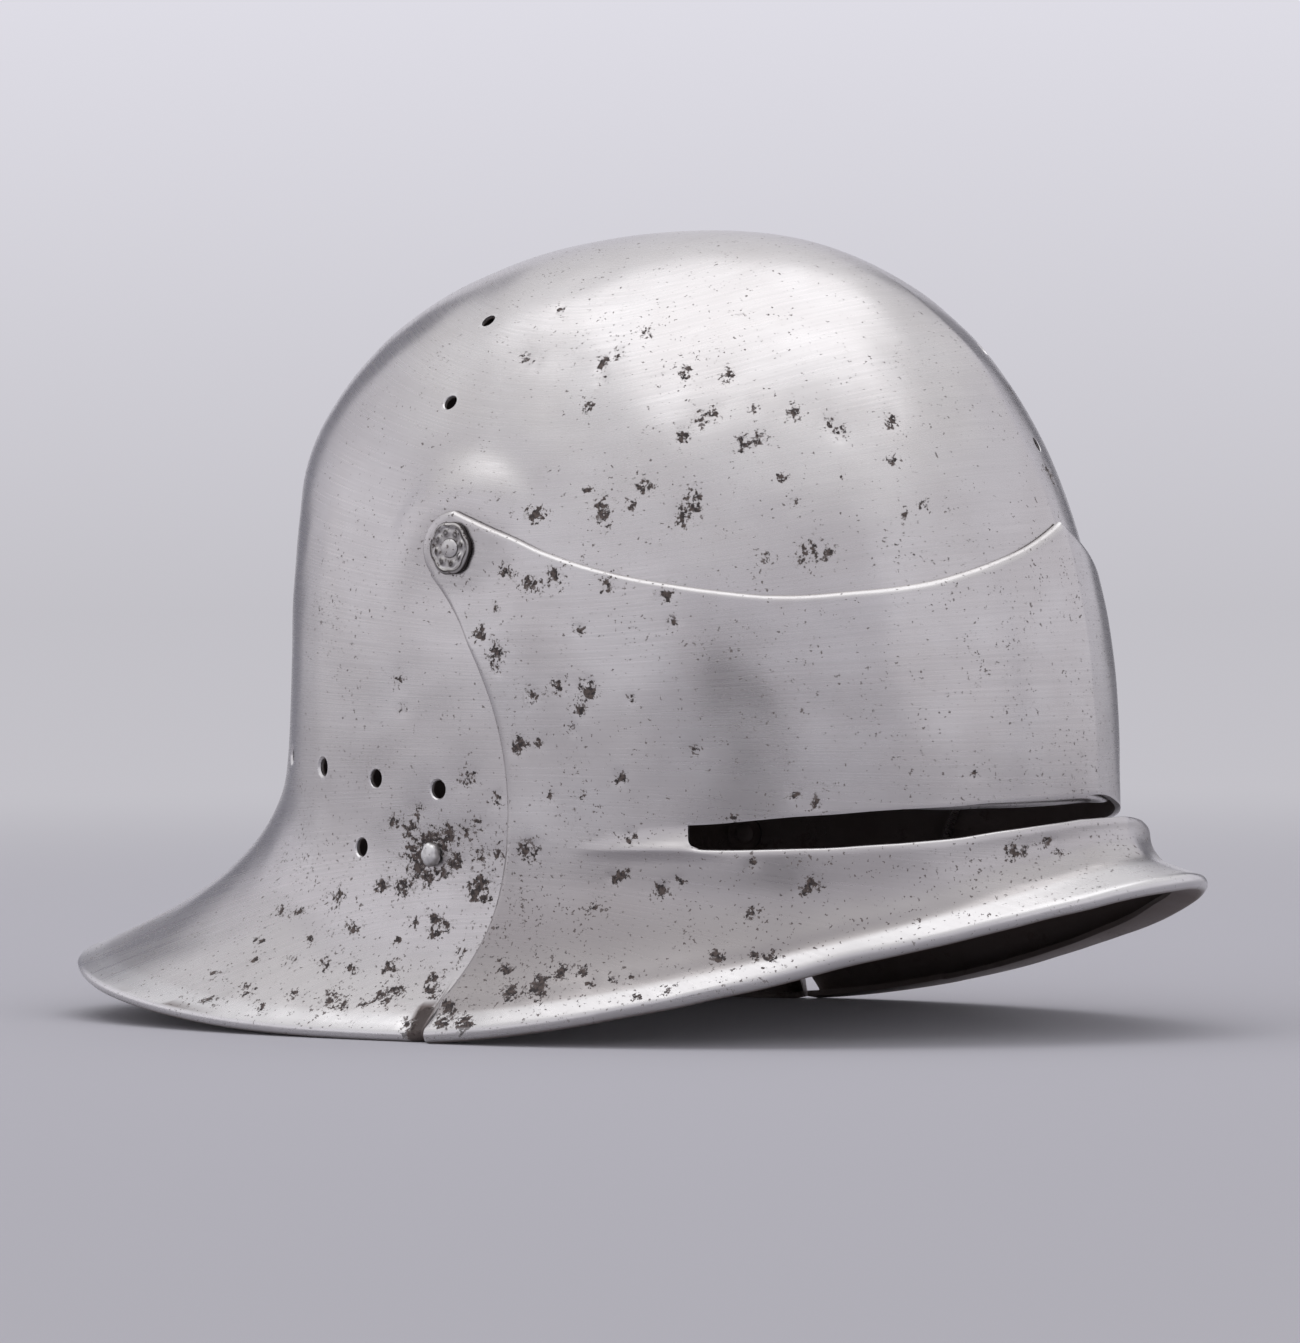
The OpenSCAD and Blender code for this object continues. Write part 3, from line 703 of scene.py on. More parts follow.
def skull_plate():
    cols = -180 + 360 * (np.arange(SKULL_COLS) + 0.5) / SKULL_COLS
    under = np.abs(cols) <= NOTCH_AZ
    low = np.where(under, skull_edge_z(cols) + TAIL_BEND_R, edge_z(cols))

    def rows_of(dome_rows, side_rows, depth):
        rows = []
        for k in range(1, dome_rows + 1):
            rows.append(SKULL_H - (SKULL_H - DOME_END_H) * (k / dome_rows) ** 2 + 0 * cols)
        for k in range(1, side_rows + 1):
            rows.append(mix(DOME_END_H, low, (k / side_rows) ** 0.9))
        z = np.stack(rows)
        az = np.broadcast_to(cols, z.shape)
        p, n = form_point(z, az), form_normal(z, az)
        t = unit(p[-1] - form_point(z[-1] + DIFF_Z, cols))
        edge = turned_edge(p[-1], t, n[-1], TAIL_BEND_R, TAIL_EDGE_W, BEND_ROWS, depth)
        body = pitted(p, n) if depth == 0 else p - depth * n
        return np.concatenate([body, np.stack(edge)])

    outer = rows_of(DOME_ROWS, SIDE_ROWS, 0)
    inner = rows_of(DOME_ROWS // 2, SIDE_ROWS // 2, SKULL_T)
    apex = np.array([[axis_at(SKULL_H), 0, SKULL_H], [axis_at(SKULL_H), 0, SKULL_H - SKULL_T]])
    points = beaten(np.concatenate([outer.reshape(-1, 3), inner.reshape(-1, 3), apex]))
    n = SKULL_COLS
    first_in = outer.shape[0] * n
    top = first_in + inner.shape[0] * n
    j = np.arange(n)
    after = (j + 1) % n
    faces = [
        *grid_faces(0, outer.shape[0], n, True, True).tolist(),
        *grid_faces(first_in, inner.shape[0], n, True, False).tolist(),
        *np.stack([0 * j + top, j, after], -1).tolist(),
        *np.stack([0 * j + top + 1, first_in + after, first_in + j], -1).tolist(),
        *strip(first_in - n + j, first_in - n + after, top - n + after, top - n + j)[:, ::-1].tolist(),
    ]
    obj = new_piece("skull_plate", points, faces)
    cut_away(obj, [notch_cutter(NOTCH_MID, side) for side in (-1, 1)])
    settle(obj, "BEVEL", width=0.45 * MM, segments=2, limit_method="ANGLE", angle_limit=math.radians(60))
    cutters = []
    for side in (-1, 1):
        cutters.append(plain_cutter(at_pivot(side), PIVOT_R + RUNNING_FIT))
        cutters.append(plain_cutter(on_skull(STRAP_H, side * STRAP_AZ), STRAP_R + RUNNING_FIT))
        cutters.append(hole_cutter(on_skull(TAB_HOLE_H, side * TAB_HOLE_AZ), NECK_HOLE_R))
        for i in range(NECK_HOLE_GAPS):
            cutters.append(hole_cutter(neck_place(i, side), NECK_HOLE_R))
    cutters.append(hole_cutter(neck_place(NECK_HOLE_GAPS, 1), NECK_HOLE_R))
    for az, z in CROWN_HOLES:
        cutters.append(hole_cutter(on_skull(z, az), CROWN_HOLE_R))
    cut_away(obj, cutters)
    return obj


def neck_place(i, side):
    az = mix(NECK_HOLE_AZ, 180, i / NECK_HOLE_GAPS)
    return on_skull(NECK_HOLE_H + NECK_HOLE_RISE * i / NECK_HOLE_GAPS, side * az)


def notch_cutter(x, side):
    """A block with rounded upper corners that frees the end of the tail."""
    half, top, r = (NOTCH_L + NOTCH_WORN) / 2, SKULL_EDGE_RISE + NOTCH_RISE, 1.6
    outline = [(-half, -2), (half, -2)]
    for cx, a0 in ((half - r, 0), (r - half, 90)):
        for a in np.linspace(a0, a0 + 90, 5):
            outline.append((cx + r * math.cos(math.radians(a)), top - r + r * math.sin(math.radians(a))))
    outline = outline if side < 0 else outline[::-1]
    near, far = SKULL_HALF_W, RIM_HALF_W + 10
    n = len(outline)
    points = [(x + px, side * y, pz) for y in (near, far) for px, pz in outline]
    faces = [list(range(n)), list(range(2 * n - 1, n - 1, -1))]
    faces += [[(i + 1) % n, i, n + i, n + (i + 1) % n] for i in range(n)]
    return new_piece("cutter", points, faces)


def rear_x(z):
    d = z - REAR_BULGE_H
    return np.maximum(REAR_CORNER_X, REAR_BULGE - d * d / (2 * np.where(d > 0, REAR_R_OVER, REAR_R_UNDER)))


def rear_edge(v):
    """Azimuth and height of the visor's rear edge: round the pivot, then down over the bulge."""
    a = mix(90, LOBE_END, v / LOBE_SHARE)
    join_z = PIVOT_H + LOBE_R * math.sin(math.radians(LOBE_END))
    end_z = SIGHT_H + math.tan(math.radians(SIGHT_TILT)) * REAR_BULGE
    lobe = v < LOBE_SHARE
    z = np.where(lobe, PIVOT_H + LOBE_R * sin_d(a), mix(join_z, end_z, (v - LOBE_SHARE) / (1 - LOBE_SHARE)))
    d = z - REAR_BULGE_H
    dx = np.where(lobe, LOBE_R * cos_d(a), REAR_BULGE - d * d / (2 * REAR_R_OVER))
    return az_at(dx, z, VISOR_OFF), z


LOBE_TOP = tuple(float(c) for c in rear_edge(np.float64(0)))
BAND_END = tuple(float(c) for c in rear_edge(np.float64(1)))


def visor_top(s):
    az = s * LOBE_TOP[0]
    point = VISOR_PEAK_H * np.maximum(0, 1 - az / PEAK_AZ) ** 2
    climb = np.maximum(0, (az - CLIMB_AZ) / (LOBE_TOP[0] - CLIMB_AZ)) ** CLIMB_N
    return az, VISOR_TOP_H + point + (LOBE_TOP[1] - VISOR_TOP_H) * climb


def lip_z(az):
    from_x = PIVOT_X + LIP_CURVE_X + PIVOT_BACK
    t = np.clip((wall_x(az) - from_x) / (AXIS_X + SKULL_FRONT - from_x), 0, 1)
    return LIP_H + LIP_RISE * t**LIP_N


def lip_out(az):
    return LIP_STEP * np.maximum(0, cos_d(np.minimum(90, 90 * az / STEP_AZ))) ** STEP_N


def band_point(s, v):
    """The visor above the sight, spread between its four edges."""
    front_z = mix(visor_top(np.float64(0))[1], sight_z(0), v)
    top, rear = visor_top(s), rear_edge(v)
    low_az = s * BAND_END[0]
    az = s * rear[0] + (1 - v) * top[0] + v * low_az
    az = az - s * ((1 - v) * LOBE_TOP[0] + v * BAND_END[0])
    z = (1 - s) * front_z + s * rear[1] + (1 - v) * top[1] + v * sight_z(low_az)
    z = z - (1 - s) * front_z - s * mix(LOBE_TOP[1], BAND_END[1], v)
    return az, z


def below_band(s, v):
    a0 = s * BAND_END[0]
    z0 = mix(lip_z(a0), edge_z(a0), v - 2)
    a1 = s * az_at(rear_x(z0), z0, VISOR_OFF)
    ledge = v < 2
    az = np.where(ledge, a0, a1)
    z = np.where(ledge, mix(sight_z(a0), lip_z(a0), v - 1), mix(lip_z(a1), edge_z(a1), v - 2))
    return az, z


def droop(s, az, v):
    """How much lower the sight lies on the far side, as the photo shows it."""
    side = FAR_DROOP_MM * smooth(az / DROOP_AZ) + FAR_DROOP_MORE * smooth((az - DROOP_AZ) / DROOP_FADE_AZ)
    above = smooth((v - DROOP_V) / (1 - DROOP_V))
    row = above * smooth(3 - np.maximum(v, 2))
    over = above * smooth(2 - np.maximum(v, 1))
    lower = side * row + FAR_NARROWER_MM * over * smooth((az - 6) / DROOP_FADE_AZ)
    return np.where(s > 0, lower * smooth((DROOP_END_AZ - az) / 24), 0)


def visor_surface(s, v):
    """A point of the visor: s from the front to the rear edges, v down over the sight and the lip."""
    h = np.abs(s)
    upper, lower = band_point(h, np.minimum(v, 1)), below_band(h, np.maximum(v, 1))
    az = np.where(v <= 1, upper[0], lower[0])
    z = np.where(v <= 1, upper[1], lower[1])
    z = z - droop(s, az, v)
    out = np.where(v <= 1, 0, lip_out(az) * smooth(v - 1))
    return form_point(z, np.where(s < 0, -1, 1) * az, VISOR_OFF, out)


def visor_normal(s, v):
    v0 = np.where(v >= 2, np.maximum(2, v - DIFF_V), np.maximum(0, v - DIFF_V))
    v1 = np.where(v <= 1, np.minimum(1, v + DIFF_V), np.minimum(3, v + DIFF_V))
    s0, s1 = np.maximum(-1, s - DIFF_S), np.minimum(1, s + DIFF_S)
    across = visor_surface(s1, v) - visor_surface(s0, v)
    up = visor_surface(s, v0) - visor_surface(s, v1)
    return unit(np.cross(across, up))


def rounded_drop(d):
    """How far the outer face falls back at a distance from a plain edge."""
    t = 1 - np.clip(d / EDGE_ROUND_W, 0, 1)
    return EDGE_ROUND_D * (1 - np.sqrt(np.maximum(0, 1 - t * t)))


def path_length(p, axis):
    """Distance along a grid's rows or columns from its first one."""
    step = np.linalg.norm(np.diff(p, axis=axis), axis=-1)
    zero = np.zeros_like(np.take(step, [0], axis))
    return np.concatenate([zero, np.cumsum(step, axis)], axis)


def coved(p, n):
    """The visor's side with the ridge that runs back from the sight, and the hollows under it."""
    az = np.degrees(np.arctan2(np.abs(p[..., 1]), p[..., 0] - AXIS_X))
    under = p[..., 2] - lip_z(az) + RIDGE_DROP
    ridge = RIDGE_MM * bell(under / RIDGE_W) * window(az, *RIDGE_AZ)
    cove = COVE_MM * bell((under + COVE_DROP) / COVE_W) * window(az, *COVE_AZ)
    groove = GROOVE_MM * bell((p[..., 2] - edge_z(az) - GROOVE_RISE) / GROOVE_W)
    return p + n * (ridge - cove - groove)[..., None]


def corner_shift(s, v, slit_s):
    """Moves the columns at the sight's ends forward low down, which rounds its lower corners."""
    depth = 1 - np.clip(2 - v, 0, 1) * SIGHT_W / CORNER_R
    rise = 1 - np.sqrt(1 - np.clip(depth, 0, 1) ** 2)
    rise = np.where(v > 2, smooth(1 - (v - 2) / CORNER_FADE), rise)
    near = np.clip(1 - np.abs(np.abs(s) - slit_s) * VISOR_SIDE_L / (3 * CORNER_R), 0, 1)
    return s - np.sign(s) * CORNER_R / VISOR_SIDE_L * rise * near


def steps(a, b, count):
    return list(np.linspace(a, b, count + 1)[1:])


def visor_rows():
    """The grid's rows as v, with the numbers of the rows at the sight's upper edge and at the lip."""
    v = [0, *[e / VISOR_TOP_L for e in EDGE_STEPS]]
    v += steps(v[-1], LOBE_SHARE, LOBE_ROWS)
    v += steps(LOBE_SHARE, 1, BAND_ROWS)
    sight_row = len(v) - 1
    v += steps(1, 2, LEDGE_ROWS)
    lip_row = len(v) - 1
    v += [2 + e for e in LIP_STEPS]
    v += steps(v[-1], 3, LOWER_ROWS)
    return np.array(v, float), sight_row, lip_row


def visor_cols(slit_s):
    """The grid's columns as s, with one at each end of the sight."""
    half = list(np.linspace(0, slit_s, SIGHT_COLS + 1))
    last = 1 - EDGE_STEPS[-1] / VISOR_SIDE_L
    half += list(slit_s + (last - slit_s) * (1 - (1 - np.linspace(0, 1, SIDE_COLS + 1)[1:]) ** 1.15))
    half += [1 - e / VISOR_SIDE_L for e in EDGE_STEPS[-2::-1]] + [1]
    return np.array([-h for h in half[:0:-1]] + half)


def visor_faces(rows, cols, j0, sight_row, lip_row):
    """Both faces of the visor with the sight left open, and the walls along every edge."""
    j1 = cols - 1 - j0
    deep = rows * cols

    def slit(k, j):
        return (k >= sight_row) & (k < lip_row) & (j >= j0) & (j < j1)

    faces = [
        *grid_faces(0, rows, cols, False, True, slit).tolist(),
        *grid_faces(deep, rows, cols, False, False, slit).tolist(),
    ]
    j = np.arange(cols - 1)
    k = np.arange(rows - 1)
    js = np.arange(j0, j1)
    ks = np.arange(sight_row, lip_row)
    last, right = (rows - 1) * cols, cols - 1
    walls = [
        (j + 1, j), (last + j, last + j + 1), (k * cols, (k + 1) * cols),
        ((k + 1) * cols + right, k * cols + right), (lip_row * cols + js + 1, lip_row * cols + js),
        (sight_row * cols + js, sight_row * cols + js + 1),
        (ks * cols + j1, (ks + 1) * cols + j1), ((ks + 1) * cols + j0, ks * cols + j0),
    ]
    for a, b in walls:
        faces += strip(deep + a, deep + b, b, a).tolist()
    return faces


def edge_drop(p, v, s, slit_s, lip_row, d_edge):
    """How far the outer face falls back toward the visor's plain edges, and not toward the bend."""
    length = path_length(p, 0)
    below = np.where(v >= 2, length - length[lip_row], 99)
    t = 1 - np.clip(below / LIP_ROUND_W, 0, 1)
    lip = LIP_ROUND_D * (1 - np.sqrt(1 - t**2)) * smooth((slit_s - np.abs(s)) * VISOR_SIDE_L / 4)
    fade = np.ones(len(v))
    fade[-4:] = (0.75, 0.5, 0.25, 0)
    return np.maximum(rounded_drop(d_edge), lip) * fade[:, None]


def visor_plate():
    v, sight_row, lip_row = visor_rows()
    slit_s = SIGHT_END / BAND_END[0]
    s = visor_cols(slit_s)
    vv, ss = np.meshgrid(v, s, indexing="ij")
    ss = corner_shift(ss, vv, slit_s)
    n = visor_normal(ss, vv)
    p = coved(visor_surface(ss, vv), n)
    t = unit(p[-1] - visor_surface(s, 3 - DIFF_V + 0 * s))
    along = path_length(p, 1)
    d_edge = np.minimum(path_length(p, 0), np.minimum(along, along[:, -1:] - along))
    p = p - n * (TUCK_MM * smooth(1 - d_edge / TUCK_W) * smooth((3 - vv) * 4))[..., None]
    bends = [
        np.stack(turned_edge(p[-1], t, n[-1], VISOR_BEND_R, VISOR_FLANGE_W, BEND_ROWS, depth, FLANGE_PAST))
        for depth in (0, VISOR_T)
    ]
    drop = edge_drop(p, vv, ss, slit_s, lip_row, d_edge)
    outer = np.concatenate([pitted(p, n) - n * drop[..., None], bends[0]])
    inner = np.concatenate([p - VISOR_T * n, bends[1]])
    points = beaten(np.concatenate([outer.reshape(-1, 3), inner.reshape(-1, 3)]))
    rows, cols = outer.shape[:2]
    j0 = int(np.argmin(np.abs(s + slit_s)))
    obj = new_piece("visor_plate", points, visor_faces(rows, cols, j0, sight_row, lip_row))
    settle(obj, "BEVEL", width=0.6 * MM, segments=3, limit_method="ANGLE", angle_limit=math.radians(58))
    cut_away(obj, [plain_cutter(at_pivot(side), PIVOT_R + RUNNING_FIT) for side in (-1, 1)])
    return obj


# The small pieces
def rosette(side):
    """A round washer with a worn rim and a ring of bosses."""
    base = VISOR_OFF + SEAT_GAP
    radii = [PIVOT_R + RUNNING_FIT, *np.linspace(PIVOT_R + 0.35, ROSETTE_R - 0.25, 26), ROSETTE_R]
    rng = np.random.default_rng(31 if side < 0 else 32)
    lobes = rng.uniform(0, 2 * math.pi, 4)

    def height(r, ang):
        rim = ROSETTE_RIM_H * bell((r - ROSETTE_R + 1.15) / 0.75)
        rim = rim * (0.85 + 0.25 * np.sin(2 * ang + lobes[0]) * np.sin(3 * ang + lobes[1]))
        boss = 0
        for i in range(BOSS_COUNT):
            a = 2 * math.pi * i / BOSS_COUNT + 0.2
            d2 = (r * np.cos(ang) - BOSS_RING_R * math.cos(a)) ** 2
            d2 = d2 + (r * np.sin(ang) - BOSS_RING_R * math.sin(a)) ** 2
            boss = boss + BOSS_H * np.exp(-((d2 / BOSS_W**2) ** 1.8))
        return ROSETTE_T - 0.15 + rim + boss + 0.04 * np.sin(7 * ang + lobes[2]) * np.sin(r * 3)

    def shape(ring, k, ang):
        r = np.hypot(ring[:, 0], ring[:, 1])
        worn = 1 - 0.055 * smooth((r - 4) / 4) * (0.5 + 0.5 * np.cos(6 * ang + lobes[3])) ** 2
        ring[:, :2] *= worn[:, None]
        ring[:, 0] *= 1 - ROSETTE_OVAL * smooth((r - 3.4) / 3)
        if k >= 2 and k < len(outline) - 2:
            ring[:, 2] = base + height(r, ang)
        return ring

    top = [(r, 0) for r in radii[1:-1]]
    outline = [(radii[0], base), (radii[0], base + ROSETTE_T - 0.3), *top]
    outline += [(ROSETTE_R, base + ROSETTE_T * 0.55), (ROSETTE_R - 0.15, base)]
    return ring_piece(f"rosette_{SIDE_NAMES[side]}", at_pivot(side), outline, 96, shape)


def uneven(amount, seed):
    """A shaping rule that makes turned rings slightly out of round."""
    rng = np.random.default_rng(seed)
    phase = rng.uniform(0, 2 * math.pi, 6)

    def shape(ring, k, ang):
        wob = np.sin(2 * ang + phase[0] + 0.3 * k) + 0.6 * np.sin(3 * ang + phase[1])
        wob = wob + 0.4 * np.sin(5 * ang + phase[2] + k)
        ring[:, :2] *= (1 + amount * wob)[:, None]
        ring[:, 2] += amount * 3 * np.sin(ang + phase[3] + 0.5 * k)
        return ring

    return shape


def pivot_rivet(side):
    head_z = VISOR_OFF + SEAT_GAP + ROSETTE_T
    end_z = -SKULL_T - SEAT_GAP - WASHER_T
    wobble = uneven(0.02, 41 if side < 0 else 42)

    def shape(ring, k, ang):
        on_shank = 4 <= k <= 5
        return ring if on_shank else wobble(ring, k, ang)

    head = [
        (PIVOT_HEAD_R * math.cos(a), head_z + PIVOT_HEAD_H * math.sin(a))
        for a in np.radians(range(0, 86, 12))
    ]
    profile = [
        (0.4, end_z - PEEN_H), (PEEN_R * 0.62, end_z - PEEN_H * 0.95),
        (PEEN_R * 0.9, end_z - PEEN_H * 0.55), (PEEN_R, end_z), (PIVOT_R, end_z), (PIVOT_R, head_z), *head,
    ]
    return lathe(f"pivot_pin_{SIDE_NAMES[side]}", at_pivot(side), profile, 48, shape)


def washer(name, place, r, pin_r, t, seed):
    """A cut washer inside the skull with softened edges, slightly out of round."""
    hole_r, low = pin_r + RUNNING_FIT, -SKULL_T - SEAT_GAP - t
    b, mid_r, high = WASHER_EDGE, (r + hole_r) / 2, low + t
    outline = [
        (hole_r, high - b), (hole_r + b, high), (mid_r, high), (r - b, high), (r, high - b),
        (r, low + b), (r - b, low), (mid_r, low), (hole_r + b, low), (hole_r, low + b),
    ]
    wobble = uneven(0.012, seed)

    def shape(ring, k, ang):
        if outline[k][0] < hole_r + 0.6:
            return ring
        level = ring[:, 2].copy()
        ring = wobble(ring, 0, ang)
        ring[:, 2] = level
        return ring

    return ring_piece(name, place, outline, 64, shape)


def pivot_washer(side):
    return washer(f"inner_washer_{SIDE_NAMES[side]}", at_pivot(side), WASHER_R, PIVOT_R, WASHER_T, 61)


def strap_washer(side):
    place = on_skull(STRAP_H, side * STRAP_AZ)
    return washer(f"strap_plate_{SIDE_NAMES[side]}", place, STRAP_WASHER_R, STRAP_R, STRAP_WASHER_T, 62)


def strap_rivet(side):
    """The worn stub of a strap rivet."""
    end_z = -SKULL_T - SEAT_GAP - STRAP_WASHER_T
    rng = np.random.default_rng(51 if side < 0 else 52)
    phase = rng.uniform(0, 2 * math.pi, 3)

    def shape(ring, k, ang):
        if k < 6:
            return ring
        worn = 1 - 0.1 * (0.5 + 0.5 * np.cos(5 * ang + phase[0])) ** 2
        ring[:, 0] *= worn * 0.9
        ring[:, 1] *= worn * 1.06
        ring[:, 2] += 0.28 * (k - 6) / 6 * np.sin(ang + phase[1])
        return ring

    r, h = STRAP_HEAD_R, STRAP_STUB_H
    profile = [
        (0.4, end_z - PEEN_H), (r * 0.5, end_z - PEEN_H * 0.95), (r * 0.8, end_z - PEEN_H * 0.5),
        (r * 0.9, end_z), (STRAP_R, end_z), (STRAP_R, SEAT_GAP), (r * 0.93, SEAT_GAP),
        (r, SEAT_GAP + 0.25), (r, SEAT_GAP + h * 0.45), (r * 0.93, SEAT_GAP + h * 0.68),
        (r * 0.8, SEAT_GAP + h * 0.84), (r * 0.55, SEAT_GAP + h * 0.93), (r * 0.2, SEAT_GAP + h * 0.95),
    ]
    return lathe(f"strap_stub_{SIDE_NAMES[side]}", on_skull(STRAP_H, side * STRAP_AZ), profile, 40, shape)


# Materials
class Nodes:
    """Short ways to build a material's nodes."""

    def __init__(self, owner):
        self.owner = owner
        owner.use_nodes = True
        self.tree = owner.node_tree
        self.tree.nodes.clear()

    def add(self, kind, inputs=None, **settings):
        node = self.tree.nodes.new(kind)
        for key, value in settings.items():
            setattr(node, key, value)
        for key, value in (inputs or {}).items():
            if isinstance(value, bpy.types.NodeSocket):
                self.tree.links.new(value, node.inputs[key])
            else:
                node.inputs[key].default_value = value
        return node

    def math(self, kind, a, b=0.0, clamp=False):
        return self.add("ShaderNodeMath", {0: a, 1: b}, operation=kind, use_clamp=clamp).outputs[0]

    def times(self, a, b):
        return self.math("MULTIPLY", a, b)

    def plus(self, total, *terms):
        for term in terms:
            total = self.math("ADD", total, term)
        return total

    def minus(self, total, *terms):
        for term in terms:
            total = self.math("SUBTRACT", total, term)
        return total

    def noise(self, vector, scale, detail, rough):
        inputs = {"Vector": vector, "Scale": scale, "Detail": detail, "Roughness": rough}
        return self.add("ShaderNodeTexNoise", inputs).outputs[0]

    def ramp(self, value, low, high, smooth_step=True):
        kind = "SMOOTHSTEP" if smooth_step else "LINEAR"
        inputs = {"Value": value, "From Min": low, "From Max": high}
        return self.add("ShaderNodeMapRange", inputs, interpolation_type=kind).outputs[0]

    def between(self, factor, a, b):
        return self.add("ShaderNodeMix", {0: factor, 2: a, 3: b}, data_type="FLOAT").outputs[0]

    def colour(self, factor, a, b):
        return self.add("ShaderNodeMix", {0: factor, 6: a, 7: b}, data_type="RGBA").outputs[2]

    def stretch(self, vector, scale):
        return self.add("ShaderNodeVectorMath", {0: vector, 1: scale}, operation="MULTIPLY").outputs[0]


# Colours in the steel, among them painted highlight and painted shade, and how far out its small pieces
# count as inside, where they get painted shade, in metres
# Dark rust in the pits, and painted shade in the small pieces' hollows.
DARK_RUST_AND_SHADE = (0.045, 0.037, 0.036, 1)
BROWN_RUST = (0.13, 0.10, 0.088, 1)
# Grey painted shade for the lower part of the visor.
LOW_SHADE_TONE = (0.33, 0.305, 0.30, 1)
# Bright steel where edges are rubbed free of rust, and also the painted highlight on edges and on the rim's
# roll.
WORN_BRIGHT_AND_HIGHLIGHT = (0.76, 0.75, 0.75, 1)
# Brown-black painted shade for inner faces, undersides, the flange and the small pieces inside the skull.
INSIDE_SHADE = (0.16, 0.122, 0.108, 1)
SCRATCH = (0.40, 0.385, 0.385, 1)
STAIN = (0.30, 0.26, 0.24, 1)
INNER_Y = 0.0938

# Scales of the noises in the steel, per metre
MOTTLE_SCALE = 38.0
SMEAR_SCALE = 11.0
SPREAD_SCALE = 26.0
CLUSTER_SCALE = 95.0
GRAIN_SCALE = 210.0
PIT_SCALE = 560.0
DOT_SCALE = 820.0
SCRATCH_SCALE = 900.0
LINES_SCALE = (22.0, 1400.0, 1.0)
COARSE_SCALE = (5.0, 300.0, 1.0)

# How high the noise must be for a pit and for a speck
PIT_LIMIT = 0.715
SPECK_LIMIT = 0.70


def corrosion(m, place, height_at, patch, grain, dots, speck):
    """Brown pits and their halo, thick in the patches and low down, with fine specks between them."""
    fine = m.noise(place, PIT_SCALE, 6.0, 0.66)
    cluster = m.ramp(m.noise(place, CLUSTER_SCALE, 3.0, 0.6), 0.48, 0.72)
    spread = m.ramp(m.noise(place, SPREAD_SCALE, 3.0, 0.6), 0.42, 0.7)
    low_down = m.minus(1.0, m.ramp(height_at, 0.02, 0.15))
    broken = m.times(patch, m.plus(m.times(grain, 1.5), 0.1))
    limit = m.minus(PIT_LIMIT - speck, m.times(broken, 0.33), m.times(spread, 0.055))
    over = m.minus(fine, m.minus(limit, m.times(low_down, 0.024)))
    dense = m.plus(m.times(spread, 0.035), m.times(patch, 0.12), m.times(low_down, 0.022))
    dense = m.plus(dense, m.times(cluster, 0.06))
    tiny = m.ramp(m.minus(dots, m.minus(SPECK_LIMIT - speck, dense)), 0.0, 0.03)
    rust = m.math("MAXIMUM", m.ramp(over, -0.012, 0.03), m.times(tiny, 0.75))
    return rust, m.ramp(over, -0.10, 0.02)


def worn_tone(m, light, warm, mottle, lines, coarse, halo):
    """The steel's own colour, with scratches along the brushing and the stain round the pits."""
    tone = m.colour(m.ramp(mottle, 0.3, 0.7), light, warm)
    tone = m.colour(m.times(m.ramp(lines, 0.35, 0.7), 0.15), tone, SCRATCH)
    tone = m.colour(m.times(m.ramp(coarse, 0.4, 0.7), 0.05), tone, SCRATCH)
    return m.colour(m.times(halo, 0.20), tone, STAIN)


def close_steel(m, base, rough, metal, height, brushed):
    """The steel's shader; the plates shine along the brushing."""
    bump = m.add("ShaderNodeBump", {"Strength": 0.75, "Distance": 0.00016, "Height": height}).outputs[0]
    shader = m.add("ShaderNodeBsdfPrincipled", {
        "Base Color": base, "Roughness": rough, "Metallic": metal, "Normal": bump,
    })
    if brushed:
        shader.inputs["Anisotropic"].default_value = 0.5
        shader.inputs["Anisotropic Rotation"].default_value = 0.25
        tangent = m.add("ShaderNodeTangent", direction_type="UV_MAP", uv_map="brushed")
        m.tree.links.new(tangent.outputs[0], shader.inputs["Tangent"])
    m.add("ShaderNodeOutputMaterial", {"Surface": shader.outputs[0]})


